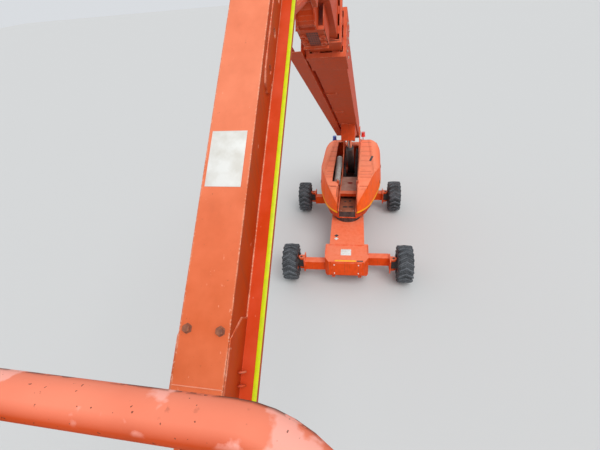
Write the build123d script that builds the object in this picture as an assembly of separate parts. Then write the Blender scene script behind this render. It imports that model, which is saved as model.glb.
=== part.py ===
from build123d import *
from math import atan2, cos, degrees, hypot, pi, radians, sin, sqrt
import os

# Telescopic boom lift, in millimetres. +X is right, +Y is away from the platform, +Z is up.
# Everything is drawn about the slewing axis and moved at the end by CENTRE_Y, which puts the
# middle of the whole machine over the origin. The chassis is turned under the boom by CHASSIS_DEG.
CENTRE_Y = 3667.0
CHASSIS_DEG = 2.19
SEAT = 0.3            # gap between pieces of different bodies that touch
RUN = 0.05            # radial play of a pin in its bore

# Chassis and axles
WHEELBASE = 3810.0
OVERALL_WIDTH = 3810.0
TYRE_R = 555.0
TYRE_WIDTH = 445.0
WHEEL_X = (OVERALL_WIDTH - TYRE_WIDTH) / 2
WHEEL_Y = WHEELBASE / 2
KINGPIN_X = WHEEL_X - 317.5
AXLE_TRAVEL = 600.0
BEAM_DEPTH = 216.0
BEAM_Z0 = 400.0
BEAM_Z1 = 700.0
BEAM_SPLIT = 118.0
BEAM_PAIR_Y = WHEEL_Y - 55.0
BEAM_WALL = 16.0
BEAM_INNER_X = 20.0
FRAME_HALF = 520.0
FRAME_Z0 = 520.0
FRAME_TOP = 1000.0
FRAME_WALL = 14.0
BOX_HALF = 630.0
BOX_Y0 = BEAM_PAIR_Y - 300.0
BOX_Y1 = BEAM_PAIR_Y + 510.0
BOX_CHAMFER_X = 120.0
BOX_CHAMFER_Y = 200.0
BOX_Z0 = 340.0
BOX_TOP = 985.0
BOX_NOSE_Y = 120.0      # slope under the outer end of each axle box: its depth and its upper edge
BOX_NOSE_Z = 470.0
BOX_WALL = 18.0
SLIDE_GAP = 6.0
RING_R = 440.0
RING_BORE_R = 300.0
RING_SIDES = 24
RING_TOP = 1150.0
COVER_HALF = 430.0
COVER_THICK = 14.0
LUG_EYE_R = 25.0
LUG_X = 390.0
LUG_Y = BOX_Y1 - 170.0
RIM_R = 270.0
RIM_DISC = 25.0
RIM_SIDES = 18
HUB_R = 130.0
SPINDLE_R = 35.0
PIN_SIDES = 12         # pins are drawn with this many sides inside round bores
KINGPIN_R = 34.0
EAR_HALF = 90.0
EAR_GAP_Z0 = 410.0
EAR_GAP_Z1 = 700.0
EAR_THICK = 60.0
FLANGE_Z0 = BEAM_Z0 - 60.0
FLANGE_Z1 = BEAM_Z1 + 70.0

# Tyre
LUGS = 18
LUG_HALF = 86.0
LUG_WIDTH = 70.0
LUG_SWEEP = 100.0      # how far a lug runs back from the middle of the tread to the shoulder
CARCASS_R = 519.0
SHOULDER_R = 436.0
SHOULDER_X = 160.0

# Turntable
DECK_Z0 = RING_TOP + 6.0
DECK_THICK = 34.0
DECK_Z1 = DECK_Z0 + DECK_THICK
SPIGOT_R = RING_R - 60.0
PLATE_IN = 264.0
PLATE_THICK = 30.0
PLATE_OUT = PLATE_IN + PLATE_THICK
PLATE_REAR = 3140.0
PLATE_FRONT = -440.0
CROSS_Y0 = 290.0       # member across the channel between the side plates
CROSS_Y1 = 480.0
VALVE_TOP = 1390.0
HOOD_Z0 = 1350.0
HOOD_REAR = 3150.0
HOOD_OUT = 1095.0
HOOD_WIDEST_Y = 2000.0
HOOD_CORNER = 320.0
HOOD_GAP = 12.0
HOOD_IN = PLATE_OUT + HOOD_GAP
HOOD_FRONT = -470.0
HOOD_SKIN = 12.0
HOOD_TOP_FRONT = 2270.0
HOOD_TOP_REAR = 2370.0
SILL_WALL = 12.0
WEIGHT_Y0 = 2380.0
WEIGHT_REAR = 3440.0
BLOCK_TOP = 2120.0
NOTCH_OUT = 505.0
NOTCH_Y0 = 120.0
NOTCH_Y1 = 2900.0
HOOD_SLOPE = degrees(atan2(HOOD_TOP_REAR - HOOD_TOP_FRONT, 2800))
HINGE_X = 330.0
HINGE_N = 22.0
HINGE_R = 8.0
HINGES = [(-460.0, -78.0), (2520.0, -8.0)]
LAMP_Y = 3200.0
TUBE_R = 104.0
TUBE_X = -401.0
PIVOT_Y = 2900.0
PIVOT_Z = 2700.0
PIVOT_PIN_R = 60.0
EAR_R = 250.0

# Main boom, drawn along -Y from its pivot and then raised by BOOM_DEG
BOOM_DEG = 29.92
BASE_HALF = 250.0
BASE_LOW = -131.0
BASE_HIGH = 429.0
BASE_WALL = 12.0
BASE_TAIL = 330.0
BASE_MOUTH = 8640.0
COLLAR_LENGTH = 620.0
COLLAR_THICK = 26.0
COLLAR_S = BASE_MOUTH - COLLAR_LENGTH
WEAR_GAP = 22.0
SECTION_WALL = 10.0
MID_HALF = BASE_HALF - BASE_WALL - WEAR_GAP
MID_LOW = BASE_LOW + BASE_WALL + WEAR_GAP
MID_HIGH = BASE_HIGH - BASE_WALL - WEAR_GAP
MID_MOUTH = 8990.0
FLY_HALF = MID_HALF - SECTION_WALL - WEAR_GAP
FLY_LOW = MID_LOW + SECTION_WALL + WEAR_GAP
FLY_HIGH = MID_HIGH - SECTION_WALL - WEAR_GAP
FLY_END = 10850.0
DRUM_S = 9980.0
DRUM_N = -200.0
DRUM_R = 125.0
DRUM_X0 = -125.0
DRUM_X1 = 45.0
BOOM_TRAVEL = 5500.0
TRAY_IN = 300.0
TRAY_OUT = 500.0
TRAY_LOW = -175.0
TRAY_HIGH = 20.0
TRAY_S0 = 700.0
TRAY_S1 = 8880.0

# Main lift cylinder
LIFT_BASE_Y = 2350.0
LIFT_BASE_Z = 1440.0
LIFT_PIN_S = 2400.0
LIFT_PIN_N = -340.0
LIFT_SHIELD_N = -600.0
LIFT_BARREL_R = 125.0
LIFT_BARREL_END = 1850.0
LIFT_ROD_R = 80.0
LIFT_PIN_R = 50.0
LIFT_EAR_IN = 130.0
LIFT_EAR_OUT = 205.0

# Jib, drawn along -Y from its pivot and then lowered by JIB_DEG
JIB_Y = -7050.0
JIB_Z = 8331.0
JIB_DEG = 38.76
JIB_HALF = 107.0
JIB_TOP = 110.0
JIB_LOW = -150.0
JIB_WALL = 8.0
JIB_MOUTH = 2930.0
JIB_FLANGE_HALF = 190.0
JIB_GAP = 12.0
JIB_TRAVEL = 2200.0
JIB_PIN_R = 40.0
LEVEL_S = 3060.0
LEVEL_PIN_R = 25.0
LEVEL_Y = JIB_Y - LEVEL_S * cos(radians(JIB_DEG))
LEVEL_Z = JIB_Z - LEVEL_S * sin(radians(JIB_DEG))
LINK_REACH = 60.0       # the levelling link hangs this far ahead of and below its upper pin
LINK_DROP = 270.0
LINK_Y = LEVEL_Y - LINK_REACH
LINK_Z = LEVEL_Z - LINK_DROP
JIB_LIFT_S = 10420.0
JIB_LIFT_N = -250.0
JIB_PIN_S = 840.0
JIB_PIN_N = -250.0
JIB_BARREL_R = 62.0
JIB_ROD_R = 34.0

# Platform
FLOOR_TOP = LEVEL_Z + 90.0
FLOOR_THICK = 60.0
FLOOR_LOW = FLOOR_TOP - FLOOR_THICK
RAIL_R = 24.0
MID_RAIL_R = 18.0
POST_HALF = 13.0
RAIL_BEND = 126.0
RAIL_SIDES = 8
RAIL_FLAT = RAIL_R * cos(pi / RAIL_SIDES)
RAIL_TOP = FLOOR_TOP + 1099.0
ROTATOR_Y = LEVEL_Y - 186.0
ROTATOR_R = 70.0
ROTOR_ARM_HALF = 50.0
DECK_HALF_X = 630.0
DECK_REAR_Y = ROTATOR_Y - 218.0
DECK_FRONT_Y = DECK_REAR_Y - 910.0
GATE_R = 14.0
GATE_POST = 40.0        # from the gate's ends to the posts beside it
GATE_Y0 = DECK_FRONT_Y + 190.0
GATE_Y1 = DECK_REAR_Y - 220.0

os.makedirs("parts", exist_ok=True)


def box(x0, x1, y0, y1, z0, z1):
    """A block between two corners."""
    centre = Pos((x0 + x1) / 2, (y0 + y1) / 2, (z0 + z1) / 2)
    return centre * Box(abs(x1 - x0), abs(y1 - y0), abs(z1 - z0))


def bar(r, length, sides):
    """An upright bar, round or with flat sides."""
    if sides == 0:
        return Cylinder(r, length)
    turn = 180 / sides
    return Pos(0, 0, -length / 2) * extrude(RegularPolygon(r, sides, rotation=turn), length)


def bar_x(r, x0, x1, y, z, sides=0):
    """A bar across the machine."""
    return Pos((x0 + x1) / 2, y, z) * Rot(0, 90, 0) * bar(r, abs(x1 - x0), sides)


def bar_y(r, y0, y1, x, z, sides=0):
    """A bar along the machine."""
    return Pos(x, (y0 + y1) / 2, z) * Rot(90, 0, 0) * bar(r, abs(y1 - y0), sides)


def bar_z(r, z0, z1, x, y, sides=0):
    """An upright bar at a place."""
    return Pos(x, y, (z0 + z1) / 2) * bar(r, abs(z1 - z0), sides)


def side_plate(x0, x1, points):
    """A plate of outline (y, z) between two X values."""
    face = Plane.YZ * make_face(Polyline(*points, close=True))
    return Pos(x0, 0, 0) * extrude(face, x1 - x0)


def flat_plate(z0, z1, points):
    """A plate of outline (x, y) between two heights."""
    return Pos(0, 0, z0) * extrude(make_face(Polyline(*points, close=True)), z1 - z0)


def tube_y(half, low, high, y0, y1, wall):
    """A rectangular tube along Y."""
    outer = box(-half, half, y0, y1, low, high)
    return outer - box(-half + wall, half - wall, y0 - 10, y1 + 10, low + wall, high - wall)


def both_sides(shape):
    return shape + mirror(shape, Plane.YZ)


def pads(half, low, high, y0, y1, inner, outer):
    """Wear pads round the inside of a tube, reaching inner into it and outer into its wall."""
    right = None
    spans = [
        (half * 0.35, half * 0.8, low - outer, low + inner),
        (half * 0.35, half * 0.8, high - inner, high + outer),
        (half - inner, half + outer, low + (high - low) * 0.15, low + (high - low) * 0.35),
        (half - inner, half + outer, low + (high - low) * 0.65, low + (high - low) * 0.85),
    ]
    for x0, x1, z0, z1 in spans:
        piece = box(x0, x1, y0, y1, z0, z1)
        right = piece if right is None else right + piece
    return both_sides(right)


def mouth_pads(half, low, high, wall, y0, y1, gap):
    """Pads fixed inside the outer tube at its mouth, just clear of the inner tube."""
    return pads(half - wall, low + wall, high - wall, y0, y1, gap - SEAT, 2)


def tail_pads(half, low, high, y0, y1, gap):
    """Pads fixed on the inner tube at its tail, just clear of the tube around it."""
    return pads(half + gap, low - gap, high + gap, y0, y1, gap + 2, -SEAT)


def gland(rod_r):
    """Corner radius of a bore with PIN_SIDES flats that just clear a rod or pin."""
    return (rod_r + SEAT) / cos(pi / PIN_SIDES)


def on_chassis(shape):
    return Rot(0, 0, CHASSIS_DEG) * shape


def on_boom(shape):
    return Pos(0, PIVOT_Y, PIVOT_Z) * Rot(-BOOM_DEG, 0, 0) * shape


def on_jib(shape):
    return Pos(0, JIB_Y, JIB_Z) * Rot(JIB_DEG, 0, 0) * shape


def boom_point(s, n):
    """(y, z) of the point s along the boom and n above its pivot line."""
    c, d = cos(radians(BOOM_DEG)), sin(radians(BOOM_DEG))
    return PIVOT_Y - s * c + n * d, PIVOT_Z + s * d + n * c


def jib_point(s, n):
    """(y, z) of the point s along the jib and n above its pivot line."""
    c, d = cos(radians(JIB_DEG)), sin(radians(JIB_DEG))
    return JIB_Y - s * c - n * d, JIB_Z - s * d + n * c


def between(shape, y0, z0, y1, z1):
    """Turns a shape drawn along -Y from the origin to run from one point to another."""
    length = hypot(y1 - y0, z1 - z0)
    up = (0, (z1 - z0) / length, -(y1 - y0) / length)
    return Plane((0, y0, z0), x_dir=(1, 0, 0), z_dir=up).location * shape


def save(name, shape):
    """Moves one piece to the middle of the machine and writes it."""
    export_step(Pos(0, CENTRE_Y, 0) * shape, "parts/" + name + ".step")


# Chassis frame: a box spine between two octagonal axle boxes
def end_box(sign):
    def outline(inset):
        y0, y1 = BOX_Y0 + inset, BOX_Y1 - inset
        x = BOX_HALF - inset
        cx, cy = BOX_CHAMFER_X, BOX_CHAMFER_Y
        pts = [(-x, y0), (-x, y1 - cy), (-x + cx, y1), (x - cx, y1), (x, y1 - cy), (x, y0)]
        return [(px, sign * py) for px, py in pts]

    def block(inset):
        y_low, y_high = BOX_Y1 - BOX_NOSE_Y - 1.5 * inset, BOX_Y1 - 1.5 * inset
        nose = [(y_low, BOX_Z0 - 5), (y_low, BOX_Z0), (y_high, BOX_NOSE_Z), (BOX_Y1 + 5, BOX_NOSE_Z),
                (BOX_Y1 + 5, BOX_Z0 - 5)]
        slope = side_plate(-BOX_HALF - 5, BOX_HALF + 5, [(sign * y, z) for y, z in nose])
        return flat_plate(BOX_Z0 + inset, BOX_TOP - inset, outline(inset)) - slope
    shell = block(0) - block(BOX_WALL)
    for side in (-1, 1):
        y_mid = sign * BEAM_PAIR_Y + side * BEAM_SPLIT
        half = BEAM_DEPTH / 2 + SLIDE_GAP
        slot = box(-BOX_HALF - 50, BOX_HALF + 50, y_mid - half, y_mid + half,
                   BEAM_Z0 - SEAT, BEAM_Z1 + SLIDE_GAP)
        shell = shell - slot
    for x in (-LUG_X, LUG_X):
        y_lug = sign * LUG_Y
        lug = box(x - 50, x + 50, y_lug - 20, y_lug + 20, BOX_Z0 - 100, BOX_Z0 + 1)
        shell = shell + (lug - bar_y(LUG_EYE_R, y_lug - 40, y_lug + 40, x, BOX_Z0 - 50))
    return shell


spine = box(-FRAME_HALF, FRAME_HALF, -BOX_Y0 - 60, BOX_Y0 + 60, FRAME_Z0, FRAME_TOP)
spine = spine - box(-FRAME_HALF + FRAME_WALL, FRAME_HALF - FRAME_WALL, -BOX_Y0, BOX_Y0,
                    FRAME_Z0 + FRAME_WALL, FRAME_TOP - FRAME_WALL)
save("chassis_frame", on_chassis(spine + end_box(-1) + end_box(1)))
ring = bar_z(RING_R, FRAME_TOP, RING_TOP, 0, 0, RING_SIDES)
ring = ring - bar_z(RING_BORE_R, FRAME_TOP - 1, RING_TOP + 1, 0, 0, RING_SIDES)
save("slew_ring", on_chassis(ring))
for name, sign in (("front", -1), ("rear", 1)):
    y0 = sign * (BOX_Y1 + SEAT)
    cover = box(-COVER_HALF, COVER_HALF, y0, y0 + sign * COVER_THICK, BOX_NOSE_Z + 15, BOX_TOP - 35)
    save(name + "_cover_plate", on_chassis(cover))


# Tyre: a ring of flats with sloped shoulders, and one swept chevron lug standing on each flat
EDGE = TYRE_WIDTH / 2
carcass_tip = CARCASS_R / cos(pi / LUGS)
angles = [2 * pi * (i + 0.5) / LUGS for i in range(LUGS)]
flats = [(-EDGE, carcass_tip * cos(a), carcass_tip * sin(a)) for a in angles]
tyre = extrude(make_face(Polyline(flats, close=True)), 2 * EDGE, dir=(1, 0, 0))
shoulder = extrude(Plane.XZ * make_face(Polyline(
    (SHOULDER_X, CARCASS_R), (EDGE, SHOULDER_R), (EDGE + 20, SHOULDER_R), (EDGE + 20, CARCASS_R + 20),
    (SHOULDER_X, CARCASS_R + 20), close=True)), 2 * LUG_HALF, both=True)
shoulder = shoulder + mirror(shoulder, Plane.YZ)
lug_top = sqrt(TYRE_R ** 2 - LUG_HALF ** 2)
tip = EDGE - 8
plan = Polyline((0, LUG_HALF), (tip, LUG_HALF - LUG_SWEEP), (tip, -LUG_HALF), (0, LUG_HALF - LUG_WIDTH),
                (-tip, -LUG_HALF), (-tip, LUG_HALF - LUG_SWEEP), close=True)
lug = Pos(0, 0, CARCASS_R - 60) * extrude(make_face(plan), lug_top - CARCASS_R + 60)
for i in range(LUGS):
    tyre = tyre - Rot(360 * i / LUGS - 90, 0, 0) * shoulder
for i in range(LUGS):
    tyre = tyre + Rot(360 * i / LUGS - 90, 0, 0) * lug
tyre = tyre - bar_x(RIM_R + SEAT, -TYRE_WIDTH, TYRE_WIDTH, 0, 0, RIM_SIDES)

# Rim: a barrel with a disc set out of its middle and a drive hub
rim = bar_x(RIM_R, -190, 190, 0, 0, RIM_SIDES)
rim = rim - bar_x(RIM_R - 14, -200, -20 - RIM_DISC, 0, 0, RIM_SIDES)
rim = rim - bar_x(RIM_R - 14, -20, 200, 0, 0, RIM_SIDES)
rim = rim + bar_x(HUB_R, -25, 120, 0, 0, 12)

# one row per corner: name, side of the machine, end of the machine, beam slot side
CORNERS = [
    ("front_left", -1, -1, -1),
    ("front_right", 1, -1, 1),
    ("rear_left", -1, 1, -1),
    ("rear_right", 1, 1, 1),
]
for name, side, end, slot in CORNERS:
    beam_y = end * BEAM_PAIR_Y + slot * BEAM_SPLIT
    wheel_y = end * WHEEL_Y
    kx = side * KINGPIN_X
    flange_in = side * (KINGPIN_X - 115)
    flange_out = side * (KINGPIN_X - 85)
    inner_x = side * -BEAM_INNER_X
    half = BEAM_DEPTH / 2
    beam = box(inner_x, flange_in, beam_y - half, beam_y + half, BEAM_Z0, BEAM_Z1)
    beam = beam - box(inner_x, side * (KINGPIN_X - 250), beam_y - half + BEAM_WALL,
                      beam_y + half - BEAM_WALL, BEAM_Z0 + BEAM_WALL, BEAM_Z1 - BEAM_WALL)
    beam = beam + box(flange_in, flange_out, wheel_y - 200, wheel_y + 200, FLANGE_Z0, FLANGE_Z1)
    for z0 in (EAR_GAP_Z0 - EAR_THICK, EAR_GAP_Z1):
        z1 = z0 + EAR_THICK
        ear = box(flange_out, kx, wheel_y - EAR_HALF, wheel_y + EAR_HALF, z0, z1)
        ear = ear + bar_z(EAR_HALF, z0, z1, kx, wheel_y, 8)
        beam = beam + ear
    beam = beam - bar_z(KINGPIN_R + SEAT, EAR_GAP_Z1 - 5, EAR_GAP_Z1 + EAR_THICK + 5, kx, wheel_y)
    beam = beam - bar_z(gland(KINGPIN_R), EAR_GAP_Z0 - EAR_THICK - 5, EAR_GAP_Z0 + 5, kx, wheel_y, PIN_SIDES)
    save("axle_beam_" + name, on_chassis(beam))

    knuckle = box(kx - side * 60, kx + side * 76, wheel_y - 60, wheel_y + 60,
                  EAR_GAP_Z0 + SEAT, EAR_GAP_Z1 - SEAT)
    knuckle = knuckle + bar_z(KINGPIN_R, EAR_GAP_Z0 - EAR_THICK - 5, EAR_GAP_Z1 + EAR_THICK + 5, kx, wheel_y,
                              PIN_SIDES)
    knuckle = knuckle + bar_x(HUB_R + 10, kx + side * 75, side * (WHEEL_X - 60), wheel_y, TYRE_R, 12)
    knuckle = knuckle + bar_x(SPINDLE_R, side * (WHEEL_X - 61), side * (WHEEL_X - 20 - RIM_DISC - SEAT),
                              wheel_y, TYRE_R)
    save("knuckle_" + name, on_chassis(knuckle))

    turn = Rot(0, 0, 0) if side > 0 else Rot(0, 0, 180)
    place = Pos(side * WHEEL_X, wheel_y, TYRE_R)
    save("rim_" + name, on_chassis(place * turn * rim))
    save("tyre_" + name, on_chassis(place * turn * tyre))


# Hoods: an egg-shaped plan with a draft, under a top that falls to the front and rounds outwards
def curve(inset, start, middle, end):
    """The outer skin's arc through three points, or straight lines for the skin's inner face."""
    if inset == 0:
        return ThreePointArc(start, middle, end)
    return Polyline(start, middle, end)


def hood_plan(inset):
    """Plan of the right hood, in by one inset outside and past its open inner side."""
    x0 = HOOD_IN - 120
    y1 = HOOD_REAR - inset
    nose = Line((x0, HOOD_FRONT + inset), (HOOD_IN, HOOD_FRONT + inset))
    x1 = HOOD_OUT - inset
    front = curve(inset, (HOOD_IN, HOOD_FRONT + inset), (590 - inset, -190 + inset), (800 - inset, 250))
    flank = curve(inset, (800 - inset, 250), (990 - inset, 950), (x1, HOOD_WIDEST_Y))
    side = Line((x1, HOOD_WIDEST_Y), (x1, y1 - HOOD_CORNER))
    corner = curve(inset, (x1, y1 - HOOD_CORNER), (x1 - 95, y1 - 95), (x1 - HOOD_CORNER, y1))
    back = Line((x1 - HOOD_CORNER, y1), (x0, y1))
    inner = Line((x0, y1), (x0, HOOD_FRONT + inset))
    return make_face([nose, front, flank, side, corner, back, inner])


def hood_block(inset, z0):
    body = Pos(0, 0, z0) * extrude(hood_plan(inset), 2500 - z0, taper=4)
    side_view = make_face([
        Polyline((HOOD_FRONT - 150, z0 - 5), (HOOD_FRONT - 150, 1300), (HOOD_FRONT, 1560 - inset)),
        curve(inset, (HOOD_FRONT, 1560 - inset), (-120, 2080 - inset), (500, HOOD_TOP_FRONT - inset)),
        Polyline((500, HOOD_TOP_FRONT - inset), (3300, HOOD_TOP_REAR - inset), (3300, z0 - 5),
                 (HOOD_FRONT - 150, z0 - 5)),
    ])
    front_view = make_face([
        Polyline((0, z0 - 10), (0, 2420 - inset), (560 - inset, 2380 - inset)),
        curve(inset, (560 - inset, 2380 - inset), (890 - inset, 2240 - inset), (1050 - inset, 1900)),
        Polyline((1050 - inset, 1900), (1180 - inset, z0 - 10), (0, z0 - 10)),
    ])
    long_mask = extrude(Plane.YZ * side_view, HOOD_OUT + 300)
    cross_mask = Pos(0, HOOD_REAR + 250, 0) * extrude(Plane.XZ * front_view, HOOD_REAR - HOOD_FRONT + 600)
    return body & long_mask & cross_mask


def on_hood_top(shape):
    """From the sloping line of the hoods' tops, where the hinges lie."""
    return Pos(0, 500, HOOD_TOP_FRONT) * Rot(HOOD_SLOPE, 0, 0) * shape


hood = hood_block(0, HOOD_Z0) - hood_block(HOOD_SKIN, HOOD_Z0 - 20)
hood = hood - box(0, HOOD_IN, HOOD_FRONT - 50, HOOD_REAR + 50, HOOD_Z0 - 50, 2600)
for y, foot in HINGES:
    y_ring = y + 35
    ring = bar_y(HINGE_R + 10, y_ring - 20, y_ring + 20, HINGE_X, HINGE_N, 8)
    ring = ring + box(HINGE_X - 12, HINGE_X + 12, y_ring - 20, y_ring + 20, foot, HINGE_N)
    ring = ring - bar_y(HINGE_R + RUN, y_ring - 25, y_ring + 25, HINGE_X, HINGE_N)
    hood = hood + on_hood_top(ring)
save("hood_right", hood)
# the left hood is cut away beside the boom for the grey tube
left_hood = mirror(hood, Plane.YZ)
left_hood = left_hood - box(-NOTCH_OUT, -PLATE_OUT, NOTCH_Y0, NOTCH_Y1, HOOD_Z0 - 5, 2600)
save("hood_left", left_hood)

# Turntable frame: deck, side plates with the pivot ears, cross members and sills under the hoods
# right half of the deck's edge from front to rear: x, y
DECK_EDGE = [(PLATE_OUT, HOOD_FRONT + 45), (560, -150), (720, 250), (900, 950), (990, 1750), (990, WEIGHT_Y0)]


def deck_face(inset):
    right = [(x - inset, y) for x, y in DECK_EDGE]
    left = [(-x, y) for x, y in reversed(right)]
    return make_face(Polyline(*right, *left, close=True))


deck = Pos(0, 0, DECK_Z0) * extrude(deck_face(0), DECK_THICK)
deck = deck + bar_z(SPIGOT_R, RING_TOP + SEAT, DECK_Z0 + 5, 0, 0, RING_SIDES)
deck = deck - bar_z(35, RING_TOP - 5, DECK_Z1 + 5, 0, 0)
profile = [
    (PLATE_FRONT, DECK_Z1 - 10), (PLATE_FRONT, 1440), (200, 1640), (1500, 1760), (2200, 2180),
    (PIVOT_Y - 235, PIVOT_Z + 90), (PIVOT_Y - 120, PIVOT_Z + 225), (PIVOT_Y, PIVOT_Z + EAR_R),
    (PIVOT_Y + 130, PIVOT_Z + 215), (PIVOT_Y + 240, PIVOT_Z + 90), (PLATE_REAR, 2200),
    (PLATE_REAR, DECK_Z1 - 10)]
frame = deck + both_sides(side_plate(PLATE_IN, PLATE_OUT, profile))
frame = frame + box(-PLATE_IN - 1, PLATE_IN + 1, CROSS_Y0, CROSS_Y1, 1540, 1650)
frame = frame + box(-PLATE_IN - 1, PLATE_IN + 1, PLATE_REAR - 50, PLATE_REAR, DECK_Z1, 2100)
boss = bar_x(110, 150, PLATE_IN + 1, LIFT_BASE_Y, LIFT_BASE_Z, 16)
frame = frame + both_sides(boss)
frame = frame - bar_x(LIFT_PIN_R + SEAT, -PLATE_OUT - 5, PLATE_OUT + 5, LIFT_BASE_Y, LIFT_BASE_Z, PIN_SIDES)
frame = frame - bar_x(PIVOT_PIN_R + SEAT, -400, 400, PIVOT_Y, PIVOT_Z, PIN_SIDES)
sill = Pos(0, 0, DECK_Z1 - 1) * extrude(deck_face(0), HOOD_Z0 - SEAT - DECK_Z1 + 1)
sill = sill - Pos(0, 0, DECK_Z1 - 2) * extrude(deck_face(SILL_WALL), HOOD_Z0)
sill = sill - box(-PLATE_OUT + 5, PLATE_OUT - 5, HOOD_FRONT - 50, HOOD_REAR, DECK_Z1 - 5, HOOD_Z0 + 5)
frame = frame + sill
# walls above the side plates that close the hoods' inner sides; the left one ends at the notch
top_line = [(NOTCH_Y0, 2150), (-100, 2040), (-300, 1840), (PLATE_FRONT + 10, 1600)]
short = [(PLATE_FRONT + 10, 1400), (NOTCH_Y0, 1600)] + top_line
full = [(PLATE_FRONT + 10, 1400), (200, 1600), (1500, 1720), (2400, 2200), (2400, 2310), (500, 2230)]
full = full + top_line
frame = frame + side_plate(PLATE_OUT - 8, PLATE_OUT, full) + side_plate(-PLATE_OUT, -PLATE_OUT + 8, short)
# hinge arms of the hoods: the front one on a post, the rear one on the ear
for y, foot in HINGES:
    arm = box(PLATE_OUT - 18, HINGE_X + 10, y - 10, y + 10, HINGE_N - 10, HINGE_N + 12)
    arm = arm + bar_y(HINGE_R, y - 10, y + 60, HINGE_X, HINGE_N, PIN_SIDES)
    frame = frame + both_sides(on_hood_top(arm))
post_y = 500 + HINGES[0][0]
post = box(PLATE_OUT - 18, PLATE_OUT, post_y - 30, post_y + 30, 1600, HOOD_TOP_FRONT + HINGE_N - 16)
frame = frame + both_sides(post)
save("turntable_frame", frame)
save("boom_pivot_pin", bar_x(PIVOT_PIN_R, -PLATE_OUT - 20, PLATE_OUT + 20, PIVOT_Y, PIVOT_Z, PIN_SIDES))
save("lift_cylinder_pin", bar_x(LIFT_PIN_R, -PLATE_OUT, PLATE_OUT, LIFT_BASE_Y, LIFT_BASE_Z, PIN_SIDES))

# Counterweight: a slab behind the deck and an upright block across the tail
y0 = WEIGHT_Y0 + SEAT
slab = flat_plate(DECK_Z0, HOOD_Z0 - SEAT, [
    (-HOOD_OUT, y0), (HOOD_OUT, y0), (HOOD_OUT, 2950), (860, 3200), (-860, 3200), (-HOOD_OUT, 2950)])
slab = slab - box(-PLATE_OUT - SEAT, PLATE_OUT + SEAT, y0 - 5, PLATE_REAR + SEAT, DECK_Z0 - 5, HOOD_Z0)
block = flat_plate(DECK_Z0, BLOCK_TOP, [
    (-960, 3160), (960, 3160), (920, 3330), (620, WEIGHT_REAR), (-620, WEIGHT_REAR), (-920, 3330)])
tongue = box(-PLATE_OUT, PLATE_OUT, PLATE_REAR + SEAT, 3165, DECK_Z0, 2100)
save("counterweight", slab + block + tongue)

# What stands on the deck
floor_z = DECK_Z1 + SEAT
save("engine", box(370, 850, 900, 2000, floor_z, 1950))
save("hydraulic_tank", box(-800, -520, 700, 1500, floor_z, 1850))
save("fuel_tank", box(-940, -420, 1600, 2300, floor_z, 1780))
save("valve_box", box(-PLATE_IN + SEAT, PLATE_IN - SEAT, PLATE_FRONT + 30, CROSS_Y0 - 5, floor_z, VALVE_TOP))
lid = side_plate(-PLATE_IN + SEAT, PLATE_IN - SEAT, [
    (CROSS_Y1 + SEAT, 1640), (CROSS_Y1 + SEAT, 1655), (1350, 1700), (1350, 1685)])
save("channel_cover", lid)
tube = bar_y(TUBE_R, 0, -1260, TUBE_X, 0, 16)
for y in (-180, -1070):
    tube = tube + box(TUBE_X, -PLATE_OUT - SEAT, y - 20, y + 20, -TUBE_R - 215, -40)
save("grey_tube", between(tube, 1890, 2170, 660, 1890))
# name, x, height of the lens above the weight
for name, x, rise in (("beacon_left", -690, 190), ("beacon_right", 400, 330)):
    z0 = BLOCK_TOP + rise
    lamp = bar_z(16, BLOCK_TOP + SEAT, z0 + 5, x, LAMP_Y, 8) + bar_z(85, z0, z0 + 15, x, LAMP_Y, 12)
    save(name, lamp + bar_z(72, z0 + 10, z0 + 160, x, LAMP_Y, 12))

# Main boom, base section
base = tube_y(BASE_HALF, BASE_LOW, BASE_HIGH, -BASE_MOUTH, BASE_TAIL, BASE_WALL)
base = base + tube_y(BASE_HALF + COLLAR_THICK, BASE_LOW - COLLAR_THICK, BASE_HIGH + COLLAR_THICK,
                     -BASE_MOUTH, -BASE_MOUTH + COLLAR_LENGTH, COLLAR_THICK)
base = base + tube_y(BASE_HALF + COLLAR_THICK, BASE_LOW - 2 * COLLAR_THICK, BASE_HIGH + COLLAR_THICK,
                     -BASE_MOUTH, -BASE_MOUTH + 80, 2 * COLLAR_THICK - 6)
base = base + box(-BASE_HALF, BASE_HALF, BASE_TAIL - 20, BASE_TAIL, BASE_LOW, BASE_HIGH)
ear = side_plate(LIFT_EAR_IN, LIFT_EAR_OUT, [
    (-LIFT_PIN_S - 450, BASE_LOW + 1), (-LIFT_PIN_S - 330, LIFT_SHIELD_N), (-LIFT_PIN_S - 150, LIFT_SHIELD_N),
    (-LIFT_PIN_S + 120, LIFT_PIN_N - 80), (-LIFT_PIN_S + 260, LIFT_PIN_N - 40), (-700, BASE_LOW + 1)])
base = base + both_sides(ear)
base = base + side_plate(-LIFT_EAR_IN - 1, LIFT_EAR_IN + 1, [
    (-LIFT_PIN_S - 450, BASE_LOW + 1), (-LIFT_PIN_S - 330, LIFT_SHIELD_N),
    (-LIFT_PIN_S - 310, LIFT_SHIELD_N), (-LIFT_PIN_S - 430, BASE_LOW + 1)])
base = base + bar_x(110, -BASE_HALF, BASE_HALF, 0, 0, 16)
base = base - bar_x(PIVOT_PIN_R + RUN, -400, 400, 0, 0)
base = base + mouth_pads(BASE_HALF, BASE_LOW, BASE_HIGH, BASE_WALL,
                         -BASE_MOUTH + 10, -BASE_MOUTH + 190, WEAR_GAP)
# brackets across the underside: distance from the pivot
for s in (2980, 4730, 6450):
    base = base + box(-BASE_HALF, -20, -s - 25, -s + 25, BASE_LOW - 18, BASE_LOW + 1)
    base = base + box(-45, -20, -s - 70, -s + 70, BASE_LOW - 18, BASE_LOW + 1)
save("boom_base", on_boom(base))

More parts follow.
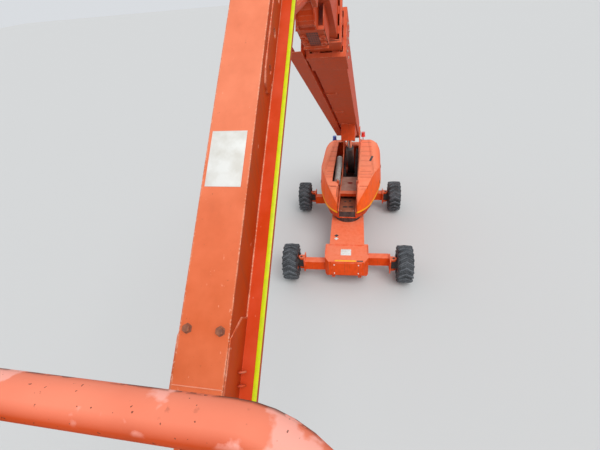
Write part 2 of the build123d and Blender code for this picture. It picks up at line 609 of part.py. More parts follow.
tray = box(-TRAY_OUT, -TRAY_IN, -TRAY_S1, -TRAY_S0, TRAY_LOW, TRAY_HIGH)
tray = tray - box(-TRAY_OUT + 8, -TRAY_IN - 8, -TRAY_S1 - 10, -TRAY_S0 + 10, TRAY_LOW + 8, TRAY_HIGH + 10)
for s in (1000, 2980, 4730, 6450, 7900, 8560):
    x_boom = -BASE_HALF - SEAT if s < COLLAR_S else -BASE_HALF - COLLAR_THICK - SEAT
    tray = tray + box(-TRAY_IN - 1, x_boom, -s - 40, -s + 40, -110, 0)
save("hose_tray", on_boom(tray))

# Middle and fly sections
mid = tube_y(MID_HALF, MID_LOW, MID_HIGH, -MID_MOUTH, -900, SECTION_WALL)
mid = mid + tube_y(MID_HALF + 18, MID_LOW - 30, MID_HIGH + 18, -MID_MOUTH, -MID_MOUTH + 90, 18 + 5)
mid = mid + mouth_pads(MID_HALF, MID_LOW, MID_HIGH, SECTION_WALL,
                       -MID_MOUTH + 10, -MID_MOUTH + 170, WEAR_GAP)
mid = mid + tail_pads(MID_HALF, MID_LOW, MID_HIGH, -1150, -950, WEAR_GAP)
save("boom_mid", on_boom(mid))
fly = tube_y(FLY_HALF, FLY_LOW, FLY_HIGH, -FLY_END, -1400, SECTION_WALL)
fly = fly + tail_pads(FLY_HALF, FLY_LOW, FLY_HIGH, -1600, -1450, WEAR_GAP)
# drum under the fly section for the hoses, between two brackets
fly = fly + bar_x(DRUM_R, DRUM_X0, DRUM_X1, -DRUM_S, DRUM_N, 16)
for x in (DRUM_X0 - 14, DRUM_X1):
    fly = fly + side_plate(x, x + 14, [
        (-DRUM_S - 170, FLY_LOW + 1), (-DRUM_S - 150, DRUM_N - 40), (-DRUM_S - 60, DRUM_N - DRUM_R - 20),
        (-DRUM_S + 60, DRUM_N - DRUM_R - 20), (-DRUM_S + 150, DRUM_N - 40), (-DRUM_S + 170, FLY_LOW + 1)])
save("boom_fly", on_boom(fly))

# Fly head: cheeks that hold the jib's pivot, and the lug of the jib's cylinder under the fly
c, d = cos(radians(BOOM_DEG)), sin(radians(BOOM_DEG))
jib_s = (PIVOT_Y - JIB_Y) * c + (JIB_Z - PIVOT_Z) * d
jib_n = -(PIVOT_Y - JIB_Y) * d + (JIB_Z - PIVOT_Z) * c
head = box(-FLY_HALF, FLY_HALF, -FLY_END - 60, -FLY_END - SEAT, FLY_LOW - 30, FLY_HIGH)
cheek = side_plate(JIB_HALF + 14, FLY_HALF, [
    (-FLY_END - 10, FLY_LOW - 30), (-FLY_END - 10, FLY_HIGH), (-jib_s + 60, jib_n + 150),
    (-jib_s - 100, jib_n + 110), (-jib_s - 140, jib_n - 40), (-jib_s - 40, jib_n - 140)])
head = head + both_sides(cheek)
head = head - bar_x(JIB_PIN_R + SEAT, -400, 400, -jib_s, jib_n, PIN_SIDES)
lug = side_plate(75, 120, [
    (-JIB_LIFT_S - 200, FLY_LOW - SEAT), (-JIB_LIFT_S - 80, JIB_LIFT_N - 70),
    (-JIB_LIFT_S + 80, JIB_LIFT_N - 70), (-JIB_LIFT_S + 200, FLY_LOW - SEAT)])
head = head + both_sides(lug)
head = head + box(-120, 120, -FLY_END - 30, -JIB_LIFT_S + 200, FLY_LOW - 30, FLY_LOW - SEAT)
save("fly_head", on_boom(head))
save("jib_pivot_pin", on_boom(bar_x(JIB_PIN_R, -FLY_HALF - 15, FLY_HALF + 15, -jib_s, jib_n, PIN_SIDES)))

# Main lift cylinder
pin_y, pin_z = boom_point(LIFT_PIN_S, LIFT_PIN_N)
lift_length = hypot(pin_y - LIFT_BASE_Y, pin_z - LIFT_BASE_Z)
barrel = bar_y(LIFT_BARREL_R, -60, -LIFT_BARREL_END, 0, 0, 24)
barrel = barrel - bar_y(LIFT_ROD_R + 8, -120, -LIFT_BARREL_END + 90, 0, 0, 12)
barrel = barrel - bar_y(gland(LIFT_ROD_R), -LIFT_BARREL_END + 150, -LIFT_BARREL_END - 10, 0, 0, PIN_SIDES)
barrel = barrel + bar_x(95, -140, 140, 0, 0, 16) - bar_x(LIFT_PIN_R + RUN, -200, 200, 0, 0)
save("lift_cylinder_barrel", between(barrel, LIFT_BASE_Y, LIFT_BASE_Z, pin_y, pin_z))
rod = bar_y(LIFT_ROD_R, -760, -lift_length + 40, 0, 0, 2 * PIN_SIDES)
rod = rod + bar_x(60, -LIFT_EAR_IN + 8, LIFT_EAR_IN - 8, -lift_length, 0, 16)
save("lift_cylinder_rod", between(rod, LIFT_BASE_Y, LIFT_BASE_Z, pin_y, pin_z))

# Jib, base section with flanges along its lower edge, drilled doublers and the cylinder's ears
jib = tube_y(JIB_HALF, JIB_LOW, JIB_TOP, -JIB_MOUTH, 60, JIB_WALL)
jib = jib + bar_x(80, -JIB_HALF, JIB_HALF, 0, 0, 16)
jib = jib + both_sides(box(JIB_HALF - 1, JIB_FLANGE_HALF, -JIB_MOUTH, -330, -98, -70))
doubler = side_plate(JIB_HALF - 1, JIB_HALF + 8, [
    (-1, -55), (60, -20), (60, 70), (-1400, 70), (-1470, 50), (-1500, 10), (-1470, -35), (-1400, -55)])
for s in (910, 1135, 1360):
    doubler = doubler - bar_x(24, JIB_HALF, JIB_HALF + 20, -s, 5, 8)
jib = jib + both_sides(doubler) - bar_x(JIB_PIN_R + RUN, -300, 300, 0, 0)
jib = jib + both_sides(side_plate(62, 100, [
    (-JIB_PIN_S - 200, JIB_LOW + 1), (-JIB_PIN_S - 60, JIB_PIN_N - 55),
    (-JIB_PIN_S + 60, JIB_PIN_N - 55), (-JIB_PIN_S + 200, JIB_LOW + 1)]))
jib = jib + mouth_pads(JIB_HALF, JIB_LOW, JIB_TOP, JIB_WALL, -JIB_MOUTH + 5, -JIB_MOUTH + 85, JIB_GAP)
save("jib_base", on_jib(jib))

inner_half = JIB_HALF - JIB_WALL - JIB_GAP
inner_low = JIB_LOW + JIB_WALL + JIB_GAP
inner_top = JIB_TOP - JIB_WALL - JIB_GAP
jib_fly = tube_y(inner_half, inner_low, inner_top, -JIB_MOUTH - 40, -420, JIB_WALL)
jib_fly = jib_fly + both_sides(side_plate(inner_half - 25, inner_half, [
    (-JIB_MOUTH + 20, 80), (-LEVEL_S - 50, 40), (-LEVEL_S - 50, -40), (-JIB_MOUTH + 20, -120)]))
jib_fly = jib_fly - bar_x(LEVEL_PIN_R + RUN, -200, 200, -LEVEL_S, 0)
jib_fly = jib_fly + tail_pads(inner_half, inner_low, inner_top, -540, -440, JIB_GAP)
save("jib_fly", on_jib(jib_fly))

# Jib cylinder
base_y, base_z = boom_point(JIB_LIFT_S, JIB_LIFT_N)
end_y, end_z = jib_point(JIB_PIN_S, JIB_PIN_N)
jib_length = hypot(end_y - base_y, end_z - base_z)
barrel = bar_y(JIB_BARREL_R, -50, -jib_length + 330, 0, 0, 16)
barrel = barrel - bar_y(JIB_ROD_R + 6, -90, -jib_length + 400, 0, 0, 8)
barrel = barrel - bar_y(JIB_ROD_R + SEAT, -jib_length + 450, -jib_length + 320, 0, 0, PIN_SIDES)
barrel = barrel + bar_x(55, -68, 68, 0, 0, 12) + bar_x(30, -75 + SEAT, 75 - SEAT, 0, 0)
save("jib_cylinder_barrel", between(barrel, base_y, base_z, end_y, end_z))
rod = bar_y(JIB_ROD_R, -500, -jib_length + 40, 0, 0, PIN_SIDES) + bar_x(50, -56, 56, -jib_length, 0, 12)
save("jib_cylinder_rod", between(rod, base_y, base_z, end_y, end_z))

# Levelling link between two pins, then the bracket that carries the rotator's column
link_length = hypot(LINK_REACH, LINK_DROP)
link = bar_x(46, -30, 30, 0, 0, 12) + box(-22, 22, -link_length, 0, -30, 30)
link = link + bar_x(46, -30, 30, -link_length, 0, 12) - bar_x(LEVEL_PIN_R + RUN, -60, 60, -link_length, 0)
link = link + bar_x(LEVEL_PIN_R, -inner_half, inner_half, 0, 0, PIN_SIDES)
save("level_link", between(link, LEVEL_Y, LEVEL_Z, LINK_Y, LINK_Z))
bracket = side_plate(34, 54, [
    (LINK_Y + 45, LINK_Z - 20), (LINK_Y + 25, LINK_Z + 45), (LINK_Y - 60, LINK_Z + 60),
    (ROTATOR_Y, LINK_Z + 60), (ROTATOR_Y, LINK_Z - 40), (LINK_Y + 20, LINK_Z - 45)])
bracket = both_sides(bracket) + bar_z(ROTATOR_R, LINK_Z - 40, LEVEL_Z - 60, 0, ROTATOR_Y, 16)
bracket = bracket + bar_x(LEVEL_PIN_R, -54, 54, LINK_Y, LINK_Z, PIN_SIDES)
save("platform_bracket", bracket)
rotor = bar_z(ROTATOR_R - 10, LEVEL_Z - 60 + SEAT, FLOOR_LOW - 29, 0, ROTATOR_Y)
rotor = rotor + box(-ROTOR_ARM_HALF, ROTOR_ARM_HALF, DECK_REAR_Y - 500, ROTATOR_Y + 30,
                    FLOOR_LOW - 30, FLOOR_LOW - SEAT)
save("rotator", rotor)

# Platform: floor, rails with an open side, gate and control console
floor_plan = Pos(0, (DECK_FRONT_Y + DECK_REAR_Y) / 2, FLOOR_LOW) * RectangleRounded(
    2 * DECK_HALF_X, DECK_REAR_Y - DECK_FRONT_Y, RAIL_BEND)
save("platform_floor", extrude(floor_plan, FLOOR_THICK))
top_z = RAIL_TOP - RAIL_R
x0, x1 = -DECK_HALF_X, DECK_HALF_X
y0, y1 = DECK_FRONT_Y, DECK_REAR_Y


def bent_rail(r, z, sides, steps, start, end):
    """A rail round three sides, from y = start to y = end on the left side."""
    corners = [(x0, y1, 180, 90), (x1, y1, 90, 0), (x1, y0, 0, -90), (x0, y0, -90, -180)]
    points = [(x0, start, z)]
    for x, y, a0, a1 in corners:
        cx = x - RAIL_BEND if x > 0 else x + RAIL_BEND
        cy = y - RAIL_BEND if y == y1 else y + RAIL_BEND
        for i in range(steps + 1):
            a = radians(a0 + (a1 - a0) * i / steps)
            points.append((cx + RAIL_BEND * cos(a), cy + RAIL_BEND * sin(a), z))
    points.append((x0, end, z))
    path = Polyline(*points)
    section = Plane(origin=points[0], x_dir=(1, 0, 0), z_dir=(0, 1, 0)) * RegularPolygon(
        r, sides, rotation=180 / sides)
    return sweep(section, path=path, transition=Transition.RIGHT)


rails = bent_rail(RAIL_R, top_z, RAIL_SIDES, 3, GATE_Y1, GATE_Y0)
rails = rails + bar_y(RAIL_R, GATE_Y0 - 1, GATE_Y1 + 1, x0, top_z, RAIL_SIDES)
for rise in (420, 760):
    rails = rails + bent_rail(MID_RAIL_R, FLOOR_TOP + rise, 4, 1, GATE_Y1 + GATE_POST, GATE_Y0 - GATE_POST)
inset = RAIL_BEND + 24
posts = [(x0, GATE_Y0 - GATE_POST), (x0, GATE_Y1 + GATE_POST), (x1, y0 + inset), (x1, y1 - inset)]
posts = posts + [(x0 + inset, y0), (x1 - inset, y0), (x0 + inset, y1), (x1 - inset, y1), (x1, (y0 + y1) / 2)]
for x, y in posts:
    rails = rails + box(x - POST_HALF, x + POST_HALF, y - POST_HALF, y + POST_HALF, FLOOR_TOP + SEAT, top_z)
# lugs that carry the gate's upright
for z in (FLOOR_TOP + 200, FLOOR_TOP + 800):
    rails = rails + box(x0 - 6, x0 + 6, GATE_Y0 - GATE_POST, GATE_Y0 - GATE_R - SEAT, z, z + 40)
save("platform_rails", rails)
gate = None
for z in (FLOOR_TOP + 150, FLOOR_TOP + 500, FLOOR_TOP + 850):
    rung = bar_y(GATE_R - 2, GATE_Y0, GATE_Y1, x0, z, 8)
    gate = rung if gate is None else gate + rung
gate = gate + bar_z(GATE_R, FLOOR_TOP + 60, FLOOR_TOP + 900, x0, GATE_Y0)
gate = gate + bar_z(GATE_R, FLOOR_TOP + 60, FLOOR_TOP + 900, x0, GATE_Y1, 8)
save("platform_gate", gate)
back = y1 - RAIL_FLAT - SEAT
console = side_plate(-380, 180, [
    (back, top_z - 260), (back, top_z + 10), (back - 40, top_z + 16), (back - 190, top_z - 60),
    (back - 190, top_z - 110), (back - 100, top_z - 260)])
save("control_console", console)
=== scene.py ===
import math

import bpy
from mathutils import Matrix, Vector


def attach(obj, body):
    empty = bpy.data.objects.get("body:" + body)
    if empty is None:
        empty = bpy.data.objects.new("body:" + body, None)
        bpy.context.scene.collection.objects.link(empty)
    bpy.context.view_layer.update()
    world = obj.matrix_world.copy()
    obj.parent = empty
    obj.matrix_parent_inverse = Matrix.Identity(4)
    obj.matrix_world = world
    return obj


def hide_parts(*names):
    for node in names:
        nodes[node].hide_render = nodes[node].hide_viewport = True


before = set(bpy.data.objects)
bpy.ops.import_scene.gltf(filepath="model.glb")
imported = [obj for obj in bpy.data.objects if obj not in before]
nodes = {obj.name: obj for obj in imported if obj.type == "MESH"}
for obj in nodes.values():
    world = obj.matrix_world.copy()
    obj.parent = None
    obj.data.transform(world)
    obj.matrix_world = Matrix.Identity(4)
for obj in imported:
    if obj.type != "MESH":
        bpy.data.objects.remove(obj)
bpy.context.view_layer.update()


# The place where the machine stands: a plain pale yard floor under an even, overcast sky.
# The eye is the operator's, above the platform's rail, looking down along the jib.
def new_finish(name):
    """A new material, with its node tree and its main shader."""
    made = bpy.data.materials.new(name)
    made.use_nodes = True
    return made, made.node_tree, made.node_tree.nodes["Principled BSDF"]


YARD_SIZE, YARD_HEIGHT = 240, -0.002
bpy.ops.mesh.primitive_plane_add(size=YARD_SIZE, location=(0, 0, YARD_HEIGHT))
yard = bpy.context.object
yard.name = "yard_floor"
pale, tree, shader = new_finish("pale_floor")
shader.inputs["Base Color"].default_value = (0.60, 0.60, 0.59, 1)
shader.inputs["Roughness"].default_value = 0.9
yard.data.materials.append(pale)

world = bpy.data.worlds.new("overcast")
bpy.context.scene.world = world
world.use_nodes = True
sky = world.node_tree.nodes["Background"]
sky.inputs["Color"].default_value = (0.93, 0.96, 1.0, 1)
sky.inputs["Strength"].default_value = 0.75
bpy.ops.object.light_add(type="SUN", location=(6, -8, 20))
sun = bpy.context.object
sun.data.energy = 1.6
sun.data.angle = math.radians(40)
sun.rotation_euler = (math.radians(28), math.radians(24), 0)
bpy.context.scene.view_settings.view_transform = "Standard"

EYE = Vector((0.6122, -6.3013, 7.890))
YAW, PITCH, ROLL = -0.2303, 0.6252, -0.1057
PICTURE_WIDTH = 600
FOCAL_PIXELS = 355.72
SHIFT_PIXELS = 1
SENSOR_WIDTH = 36
ahead = Vector((math.sin(YAW) * math.cos(PITCH), math.cos(YAW) * math.cos(PITCH), -math.sin(PITCH)))
level = Vector((math.cos(YAW), -math.sin(YAW), 0))
above = level.cross(ahead)
right = level * math.cos(ROLL) + above * math.sin(ROLL)
up = above * math.cos(ROLL) - level * math.sin(ROLL)
bpy.ops.object.camera_add(location=EYE)
eye = bpy.context.object
eye.rotation_euler = Matrix((right, up, -ahead)).transposed().to_euler()
eye.data.sensor_width = SENSOR_WIDTH
eye.data.lens = FOCAL_PIXELS / PICTURE_WIDTH * SENSOR_WIDTH
eye.data.shift_x = SHIFT_PIXELS / PICTURE_WIDTH
eye.data.clip_start = 0.02
eye.data.clip_end = 400
bpy.context.scene.camera = eye

# The welded steel is sprayed in one satin orange, which the sun has bleached pink on top; that pink also
# carries a painted sky reflection.
# It is chipped to rust at the edges, streaked on the sides and dusty where dust can lie.
paint_age = bpy.data.node_groups.new("paint_age", "ShaderNodeTree")
for label, kind, value in (
    ("Paint", "NodeSocketColor", (0.80, 0.11, 0.012, 1)),
    ("Bleached and sky sheen", "NodeSocketColor", (1.0, 0.26, 0.13, 1)),
    ("Underside shade", "NodeSocketColor", (0.26, 0.045, 0.018, 1)),
    ("Dust", "NodeSocketFloat", 0.25),
    ("Chips", "NodeSocketFloat", 0.3),
    ("Streaks", "NodeSocketFloat", 0.3),
):
    socket = paint_age.interface.new_socket(label, in_out="INPUT", socket_type=kind)
    socket.default_value = value
for label, kind in (("Color", "Color"), ("Roughness", "Float"), ("Height", "Float")):
    paint_age.interface.new_socket(label, in_out="OUTPUT", socket_type="NodeSocket" + kind)


def node(tree, kind, **settings):
    """One shader node with its settings; in_ and a number as a key sets that input."""
    made = tree.nodes.new(kind)
    for key, value in settings.items():
        if key.startswith("in_"):
            made.inputs[int(key[3:])].default_value = value
        else:
            setattr(made, key, value)
    return made


def wire(tree, *pairs):
    for source, target in pairs:
        tree.links.new(source, target)


def span(tree, source, low, high, to_low=0.0, to_high=1.0):
    """The source from low..high brought to to_low..to_high, clamped."""
    made = node(tree, "ShaderNodeMapRange", in_1=low, in_2=high, in_3=to_low, in_4=to_high)
    wire(tree, (source, made.inputs[0]))
    return made.outputs[0]


def times(tree, first, second, operation="MULTIPLY"):
    """Two values multiplied, or put through another operation; each is a socket or a number."""
    made = node(tree, "ShaderNodeMath", operation=operation)
    for slot_number, value in enumerate((first, second)):
        if isinstance(value, (int, float)):
            made.inputs[slot_number].default_value = value
        else:
            wire(tree, (value, made.inputs[slot_number]))
    return made.outputs[0]


def mixed(tree, share, first, second, mode="MIX"):
    """Two colours mixed by a share; each may be a socket, a colour or a number."""
    made = node(tree, "ShaderNodeMix", data_type="RGBA", blend_type=mode)
    for slot_number, value in ((0, share), (6, first), (7, second)):
        if isinstance(value, (int, float, tuple)):
            made.inputs[slot_number].default_value = value
        else:
            wire(tree, (value, made.inputs[slot_number]))
    return made.outputs[2]


def grain(tree, spot, scale, detail=4.0, stretch=(1, 1, 1)):
    """Noise at a scale, from places that may be stretched."""
    turned = node(tree, "ShaderNodeMapping", in_3=stretch)
    noise = node(tree, "ShaderNodeTexNoise", in_2=scale, in_3=detail)
    wire(tree, (spot, turned.inputs[0]), (turned.outputs[0], noise.inputs[0]))
    return noise.outputs[0]


def spots_of(tree):
    """Places on the surface, in the object's own space."""
    return node(tree, "ShaderNodeTexCoord").outputs["Object"]


def true_normal(tree):
    return node(tree, "ShaderNodeNewGeometry").outputs["Normal"]


def axes(tree, vector):
    """The x, y and z of a vector."""
    parts = node(tree, "ShaderNodeSeparateXYZ")
    wire(tree, (vector, parts.inputs[0]))
    return parts.outputs


def rounding(tree, radius):
    """The normal of edges rounded to a radius, and how well it agrees with the true one."""
    soft = node(tree, "ShaderNodeBevel", samples=4, in_0=radius)
    agreed = node(tree, "ShaderNodeVectorMath", operation="DOT_PRODUCT")
    wire(tree, (soft.outputs[0], agreed.inputs[0]), (true_normal(tree), agreed.inputs[1]))
    return soft.outputs[0], agreed.outputs["Value"]


def relief_on(tree, shader, height, strength, depth=0.002):
    """Fine relief on the shader, from a height."""
    relief = node(tree, "ShaderNodeBump")
    relief.inputs["Strength"].default_value = strength
    relief.inputs["Distance"].default_value = depth
    wire(tree, (height, relief.inputs["Height"]), (relief.outputs[0], shader.inputs["Normal"]))
    return relief


tree = paint_age
given = node(tree, "NodeGroupInput").outputs
result = node(tree, "NodeGroupOutput").inputs
spot = spots_of(tree)
facing_up = axes(tree, true_normal(tree))[2]
broad = grain(tree, spot, 0.9, 5.0)
middle = grain(tree, spot, 9.0, 6.0)
fine = grain(tree, spot, 70.0, 5.0)
runs = grain(tree, spot, 7.0, 4.0, (5, 5, 0.35))
# Faces that look up turn to the Bleached colour: sun bleaching together with a painted sky reflection.
lying = span(tree, facing_up, 0.25, 0.85)
bleach_and_sky_sheen = times(tree, lying, span(tree, broad, 0.25, 0.75, 0.72, 1.0))
colour = mixed(tree, bleach_and_sky_sheen, given["Paint"], given["Bleached and sky sheen"])
# Faces that look down turn to the Under colour: painted shade under the boom and the other parts.
painted_underside_shade = times(tree, span(tree, facing_up, -0.35, -0.8), span(tree, broad, 0.2, 0.8, 0.6, 1.0))
colour = mixed(tree, painted_underside_shade, colour, given["Underside shade"])
colour = mixed(tree, 1.0, colour, span(tree, middle, 0.2, 0.8, 0.86, 1.08), "MULTIPLY")
side_run = times(tree, span(tree, runs, 0.52, 0.72), span(tree, lying, 1.0, 0.0))
side_run = times(tree, side_run, given["Streaks"])
colour = mixed(tree, side_run, colour, (0.16, 0.06, 0.03, 1))
dusty = span(tree, times(tree, broad, middle, "ADD"), 0.75, 1.35)
dusty = times(tree, dusty, span(tree, lying, 0.0, 1.0, 0.15, 1.0))
dusty = times(tree, dusty, given["Dust"])
colour = mixed(tree, dusty, colour, (0.46, 0.34, 0.26, 1))
edge = span(tree, rounding(tree, 0.012)[1], 0.995, 0.93)
worn = times(tree, edge, span(tree, middle, 0.42, 0.62))
colour = mixed(tree, times(tree, worn, 0.55), colour, (0.93, 0.50, 0.34, 1))
chip = span(tree, times(tree, fine, times(tree, edge, 0.10), "ADD"), 0.69, 0.73)
chip = times(tree, times(tree, chip, given["Chips"]), span(tree, middle, 0.35, 0.6))
colour = mixed(tree, chip, colour, (0.10, 0.045, 0.03, 1))
rough = times(tree, span(tree, middle, 0.2, 0.8, 0.44, 0.62), times(tree, dusty, 0.35), "ADD")
tall = times(tree, times(tree, fine, 0.25), chip, "SUBTRACT")
wire(tree, (colour, result["Color"]), (rough, result["Roughness"]), (tall, result["Height"]))


def aged_paint(name, paint, bleached_and_sky_sheen, underside_shade, dust, chips, streaks=0.3, bump=0.25,
               edge_radius=0.006):
    """A coat of this machine's paint with its own colours and its own share of wear."""
    made, tree, shader = new_finish(name)
    coat = node(tree, "ShaderNodeGroup", node_tree=paint_age)
    for label, value in (("Paint", paint), ("Bleached and sky sheen", bleached_and_sky_sheen), ("Underside shade", underside_shade)):
        coat.inputs[label].default_value = (*value, 1)
    for label, value in (("Dust", dust), ("Chips", chips), ("Streaks", streaks)):
        coat.inputs[label].default_value = value
    rounded = node(tree, "ShaderNodeBevel", samples=4, in_0=edge_radius)
    relief = relief_on(tree, shader, coat.outputs["Height"], bump)
    wire(tree, (coat.outputs["Color"], shader.inputs["Base Color"]),
         (coat.outputs["Roughness"], shader.inputs["Roughness"]),
         (rounded.outputs[0], relief.inputs["Normal"]))
    shader.inputs["Specular IOR Level"].default_value = 0.12
    return made


def layers_of(material):
    """The tree, shader, coat and relief of an aged paint, for more layers on top."""
    tree = material.node_tree
    coat = next(n for n in tree.nodes if n.type == "GROUP")
    relief = next(n for n in tree.nodes if n.type == "BUMP")
    return tree, tree.nodes["Principled BSDF"], coat, relief


def coat_node(name, material):
    nodes[name].data.materials.clear()
    nodes[name].data.materials.append(material)


# each corner's side and end of the machine
CORNERS = {"front_left": (-1, -1), "front_right": (1, -1), "rear_left": (-1, 1), "rear_right": (1, 1)}
chassis_orange = aged_paint("chassis_orange", (0.82, 0.070, 0.001), (1.0, 0.200, 0.085),
                            (0.36, 0.045, 0.006), dust=0.24, chips=0.35)
for name in ("chassis_frame", "front_cover_plate", "rear_cover_plate"):
    coat_node(name, chassis_orange)
for corner in CORNERS:
    coat_node("axle_beam_" + corner, chassis_orange)


# Small fasteners: hexagon bolts with flanged heads, zinc plated, most of them browned by rust.
# They hold the cover plates, the wheels, the valve cover, the boom's pivot and collar, and the
# wear pads in the jib.
def select_faces(obj, test):
    """In edit mode of obj, selects the faces whose centre and normal pass the test."""
    bpy.ops.object.mode_set(mode="OBJECT")
    for vert in obj.data.vertices:
        vert.select = False
    for line in obj.data.edges:
        line.select = False
    for face in obj.data.polygons:
        face.select = test(face.center, face.normal)
    bpy.ops.object.mode_set(mode="EDIT")
    bpy.ops.mesh.select_mode(type="FACE")


def pushed(x, y, z):
    """In edit mode, extrudes what is selected by a distance."""
    bpy.ops.mesh.extrude_region_move(TRANSFORM_OT_translate={"value": (x, y, z)})


def stepped(obj, *steps):
    """Insets obj's top face and raises it, once for each (inset, rise)."""
    select_faces(obj, lambda centre, normal: normal.z > 0.9)
    for inset, rise in steps:
        bpy.ops.mesh.inset(thickness=inset)
        if rise:
            pushed(0, 0, rise)
    bpy.ops.object.mode_set(mode="OBJECT")


def rounded_off(obj, width, segments=2):
    """Rounds obj's edges by an applied bevel."""
    bpy.context.view_layer.objects.active = obj
    cut = obj.modifiers.new("edges", "BEVEL")
    cut.width = width
    cut.segments = segments
    cut.angle_limit = math.radians(30)
    bpy.ops.object.modifier_apply(modifier=cut.name)


def put_down():
    """Puts the selected object's place, turn and size into its mesh."""
    bpy.ops.object.transform_apply(location=True, rotation=True, scale=True)


def round_blank(sides, radius, depth, foot=0.0):
    """A cylinder along +Z, standing on the height foot."""
    bpy.ops.mesh.primitive_cylinder_add(vertices=sides, radius=radius, depth=depth,
                                        location=(0, 0, foot + depth / 2))
    put_down()
    return bpy.context.object


def twin_of(master):
    """A copy of a piece with a mesh of its own."""
    made = master.copy()
    made.data = master.data.copy()
    bpy.context.collection.objects.link(made)
    return made


def joined(parts, into=None):
    """The parts as one piece, moved by the matrix into."""
    bpy.ops.object.select_all(action="DESELECT")
    for part in parts:
        part.select_set(True)
    bpy.context.view_layer.objects.active = parts[0]
    if len(parts) > 1:
        bpy.ops.object.join()
    if into is not None:
        bpy.context.object.data.transform(into)
    return bpy.context.object


def settled(obj, name, body, material):
    """Puts a finished piece's place into its mesh, gives it its finish and fixes it to its body."""
    bpy.ops.object.select_all(action="DESELECT")
    obj.select_set(True)
    bpy.context.view_layer.objects.active = obj
    put_down()
    bpy.ops.object.shade_smooth_by_angle(angle=math.radians(35))
    obj.name = name
    obj.data.name = name
    obj.data.materials.clear()
    obj.data.materials.append(material)
    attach(obj, body)
    return obj


def copies(master, places, name, body, material):
    """Copies of a master standing along +Z, one at each (point, direction), joined into one piece."""
    made = []
    for point, direction in places:
        twin = twin_of(master)
        twin.rotation_mode = "QUATERNION"
        twin.rotation_quaternion = Vector(direction).to_track_quat("Z", "Y")
        twin.location = point
        made.append(twin)
    settled(joined(made), name, body, material)


HEX_RADIUS, HEX_HEIGHT, FLANGE_HEIGHT, FLANGE_SPREAD = 0.016, 0.014, 0.003, 1.35
bolt = round_blank(6, HEX_RADIUS, HEX_HEIGHT, FLANGE_HEIGHT)
select_faces(bolt, lambda centre, normal: normal.z < -0.9)
pushed(0, 0, -0.001)
bpy.ops.transform.resize(value=(FLANGE_SPREAD, FLANGE_SPREAD, 1))
pushed(0, 0, -0.004)
stepped(bolt, (0.003, 0))
rounded_off(bolt, 0.0012)
bolt_steel, tree, shader = new_finish("bolt_steel")
spot = spots_of(tree)
drift = span(tree, grain(tree, spot, 40), 0.35, 0.65)
wire(tree, (mixed(tree, drift, (0.60, 0.52, 0.44, 1), (0.34, 0.20, 0.13, 1)), shader.inputs["Base Color"]),
     (span(tree, grain(tree, spot, 90), 0.3, 0.7, 0.35, 0.7), shader.inputs["Roughness"]))
shader.inputs["Metallic"].default_value = 0.6

pale_bolt, tree, shader = new_finish("pale_bolt")
spot = spots_of(tree)
drift = span(tree, grain(tree, spot, 55), 0.35, 0.65)
wire(tree, (mixed(tree, drift, (0.90, 0.88, 0.84, 1), (0.62, 0.54, 0.47, 1)), shader.inputs["Base Color"]),
     (span(tree, grain(tree, spot, 90), 0.3, 0.7, 0.4, 0.7), shader.inputs["Roughness"]))

SLEW_Y = 3.667
CHASSIS = Matrix.Translation((0, SLEW_Y, 0)) @ Matrix.Rotation(math.radians(2.19), 4, "Z")
chassis_turn = CHASSIS.to_3x3()
COVER_FACE, BOLT_X, BOLT_HEIGHTS = 2.3745, 0.345, (0.56, 0.88)
for end, sign in (("front", -1), ("rear", 1)):
    out = chassis_turn @ Vector((0, sign, 0))
    spots = [(CHASSIS @ Vector((x, sign * COVER_FACE, z)), out)
             for x in (-BOLT_X, BOLT_X) for z in BOLT_HEIGHTS]
    copies(bolt, spots, end + "_cover_bolts", "chassis", pale_bolt)


# Bare plates and tape on the chassis: amber tape and a dark plate along the front edge of the
# front axle box, a white plate behind them, and two blank markers stuck on the spine.
def thickened(x, y, z):
    """Makes a closed plate of the active sheet, by its thickness as a distance."""
    bpy.ops.object.mode_set(mode="EDIT")
    bpy.ops.mesh.select_all(action="SELECT")
    pushed(x, y, z)
    bpy.ops.mesh.select_all(action="SELECT")
    bpy.ops.mesh.normals_make_consistent(inside=False)
    bpy.ops.object.mode_set(mode="OBJECT")


def plate(name, corners, height, body, material, into=Matrix.Identity(4)):
    """A thin plate over the corners (lower left to upper right, in one plane), with softened edges."""
    (x0, y0), (x1, y1) = corners
    bpy.ops.mesh.primitive_plane_add(size=1, location=((x0 + x1) / 2, (y0 + y1) / 2, height))
    made = bpy.context.object
    made.scale = (x1 - x0, y1 - y0, 1)
    put_down()
    thickened(0, 0, PLATE_THICK)
    rounded_off(made, PLATE_EDGE)
    made.data.transform(into)
    settled(made, name, body, material)


def plain_finish(name, colour, second, roughness, scale=14.0, metallic=0.0, bump=0.1):
    """A finish that drifts between two colours, with fine relief."""
    made, tree, shader = new_finish(name)
    spot = spots_of(tree)
    drift = grain(tree, spot, scale, 6.0)
    coloured = mixed(tree, span(tree, drift, 0.35, 0.65), (*colour, 1), (*second, 1))
    wire(tree, (coloured, shader.inputs["Base Color"]),
         (span(tree, drift, 0.3, 0.7, roughness - 0.08, roughness + 0.1), shader.inputs["Roughness"]))
    relief_on(tree, shader, grain(tree, spot, scale * 9), bump)
    shader.inputs["Metallic"].default_value = metallic
    return made


